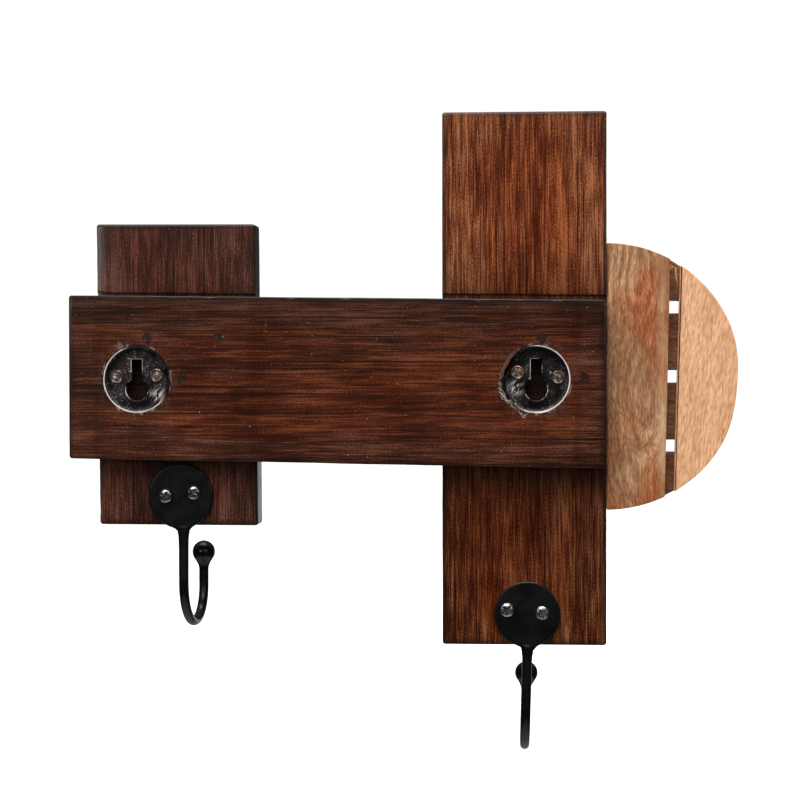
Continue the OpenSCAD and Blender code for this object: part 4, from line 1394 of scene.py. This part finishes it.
class FinishHiddenFasteners(Maker):
    """Finishes for the screws, brads and dowels inside the joints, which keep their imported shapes"""

    bl_idname = "rack.finish_hidden_fasteners"
    bl_label = "Hidden fasteners"

    def make(self):
        steel = worn_steel("hidden_steel", screen(172, 172, 176), screen(120, 120, 124), 0.3, 0.5, 33)
        dowel = bare_wood("dowel_wood", 91, SLAT_TONES, 0.6, 90.0, 0.5)
        for node, finish in (
            ("tail_joint_screws", steel),
            ("wing_joint_screws", steel),
            ("nose_brads", steel),
            ("nose_dowels", dowel),
        ):
            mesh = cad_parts[node].data
            mesh.materials.clear()
            mesh.materials.append(finish)


class MakeStage(Maker):
    """The pale floor, the soft studio light and the camera"""

    bl_idname = "rack.make_stage"
    bl_label = "Stage"

    def make(self):
        look = sizes("rack_stage")
        self.floor(look)
        self.world()
        self.lamp("key", (0.12, 1.12, 0.78), 1.1, 0.7, look["key_power"])
        self.sun(look)
        self.lamp("left", (0.74, 1.36, 0.22), 0.22, 0.3, look["side_power"])
        self.lamp("right", (-0.82, 1.30, 0.22), 0.22, 0.3, look["side_power"])
        self.lamp("room", (-0.2, -1.2, 0.9), 1.2, 0.8, look["room_power"]).visible_glossy = False
        data = bpy.data.cameras.new("camera")
        data.lens, data.sensor_width, data.clip_start = look["lens"], 36.0, 0.05
        camera = bpy.data.objects.new("camera", data)
        across, up, back = CAMERA_AXES
        turn = Matrix((across, up, back)).transposed().to_4x4()
        camera.matrix_world = Matrix.Translation(CAMERA_PLACE) @ turn
        bpy.context.scene.collection.objects.link(camera)
        bpy.context.scene.camera = camera
        bpy.context.scene.view_settings.view_transform = "Standard"

    def floor(self, look):
        """A wide level floor: a grid with a slow ripple of a tenth of a millimetre."""
        low, _ = CAD_BOX
        side = np.linspace(-6000, 6000, 25)
        x, y = np.meshgrid(side, side, indexing="ij")
        z = low[2] / MM - look["floor_drop"] + 0.1 * np.sin(x / 700) * np.sin(y / 900)
        mesh = bpy.data.meshes.new("floor")
        n = len(side)
        i, j = np.meshgrid(np.arange(n - 1), np.arange(n - 1), indexing="ij")
        faces = np.stack(
            [i * n + j, (i + 1) * n + j, (i + 1) * n + j + 1, i * n + j + 1], -1
        ).reshape(-1, 4)
        mesh.from_pydata((np.stack([x, y, z], -1).reshape(-1, 3) * MM).tolist(), [], faces.tolist())
        floor = bpy.data.objects.new("floor", mesh)
        bpy.context.scene.collection.objects.link(floor)
        f = Finish("pale_floor")
        cloud = f.noise((3, 3, 3), 2, 3, 0.5)
        r, g, b, _ = look["floor_colour"]
        f.set(
            "Base Color", f.ramp(cloud, [(0.3, (0.97 * r, 0.97 * g, 0.97 * b, 1.0)), (0.7, (r, g, b, 1.0))])
        )
        f.set("Roughness", f.fit(cloud, 0.3, 0.7, 0.7, 0.8))
        mesh.materials.append(f.material)
        floor.visible_diffuse = floor.visible_glossy = False

    def world(self):
        """White to the eye; as light it is a pale ground that runs out on the room side, a dim room and
        a paler ceiling."""
        world = bpy.data.worlds.new("studio")
        world.use_nodes = True
        bpy.context.scene.world = world
        tree = world.node_tree
        tree.nodes.clear()

        add = partial(new_node, tree)
        way = add("SeparateXYZ", {0: add("TexCoord", {}).outputs["Generated"]}).outputs
        beyond = add(
            "MapRange", {"Value": way[1], "From Min": -0.72, "From Max": -0.9},
            interpolation_type="SMOOTHSTEP",
        )
        below = add(
            "MapRange", {"Value": way[2], "From Min": 0.03, "From Max": -0.05, "To Max": 0.95},
            interpolation_type="SMOOTHSTEP",
        )
        backdrop = add("Math", {0: beyond.outputs[0], 1: below.outputs[0]}, operation="MULTIPLY")
        ceiling = add(
            "MapRange", {"Value": way[2], "From Min": 0.2, "From Max": 0.9, "To Min": 0.05, "To Max": 0.25},
            interpolation_type="SMOOTHSTEP",
        )
        ground = add(
            "MapRange", {"Value": way[2], "From Min": -0.5, "From Max": -0.8, "To Max": 0.7},
            interpolation_type="SMOOTHSTEP",
        )
        glow = add("Math", {0: backdrop.outputs[0], 1: ground.outputs[0]}, operation="MAXIMUM")
        light = add("Math", {0: glow.outputs[0], 1: ceiling.outputs[0]}, operation="MAXIMUM")
        room = add("Background", {"Color": (1.0, 1.0, 1.0, 1.0), "Strength": light.outputs[0]})
        seen = add("Background", {"Color": (1.0, 1.0, 1.0, 1.0), "Strength": 1.05})
        eye = add("LightPath", {}).outputs["Is Camera Ray"]
        both = add("MixShader", {0: eye, 1: room.outputs[0], 2: seen.outputs[0]})
        add("OutputWorld", {"Surface": both.outputs[0]})

    def sun(self, look):
        """A wide, steep, even light that keeps the floor pale out to its horizon."""
        data = bpy.data.lights.new("skylight", "SUN")
        data.energy, data.angle = look["sky_strength"], math.radians(50)
        lamp = bpy.data.objects.new("skylight", data)
        lamp.rotation_euler = (math.radians(-16), math.radians(3), 0)
        bpy.context.scene.collection.objects.link(lamp)

    def lamp(self, name, place, width, height, power):
        """A softbox that faces the object."""
        data = bpy.data.lights.new(name, "AREA")
        data.shape, data.size, data.size_y, data.energy = "RECTANGLE", width, height, power
        lamp = bpy.data.objects.new(name, data)
        lamp.location = place
        lamp.rotation_euler = (-lamp.location).to_track_quat("-Z", "Y").to_euler()
        bpy.context.scene.collection.objects.link(lamp)
        return lamp


# ---------------------------------------------------------------- add-on

MAKERS = (
    MakeRail,
    MakeUprights,
    MakeNose,
    MakeHangers,
    MakeNails,
    MakeHooks,
    MakeHookScrews,
    MakeFiller,
    FinishHiddenFasteners,
    MakeStage,
)


class RackPanel(bpy.types.Panel):
    """Lists the rack's settings and makers in the 3D view's sidebar"""

    bl_idname = "VIEW3D_PT_rack"
    bl_label = "Wall Hook Rack"
    bl_space_type = "VIEW_3D"
    bl_region_type = "UI"
    bl_category = "Rack"

    def draw(self, context):
        for group, kind in SETTINGS.items():
            column = self.layout.column(align=True)
            for name in kind.__annotations__:
                column.prop(getattr(context.scene, group), name)
        for maker in MAKERS:
            self.layout.operator(maker.bl_idname)


CLASSES = (*SETTINGS.values(), *MAKERS, RackPanel)


def register():
    for kind in CLASSES:
        bpy.utils.register_class(kind)
    for group, kind in SETTINGS.items():
        setattr(bpy.types.Scene, group, PointerProperty(type=kind))


def unregister():
    for group in SETTINGS:
        delattr(bpy.types.Scene, group)
    for kind in reversed(CLASSES):
        bpy.utils.unregister_class(kind)


def main():
    register()
    for maker in MAKERS:
        group, name = maker.bl_idname.split(".")
        getattr(getattr(bpy.ops, group), name)()


if __name__ == "__main__":
    main()
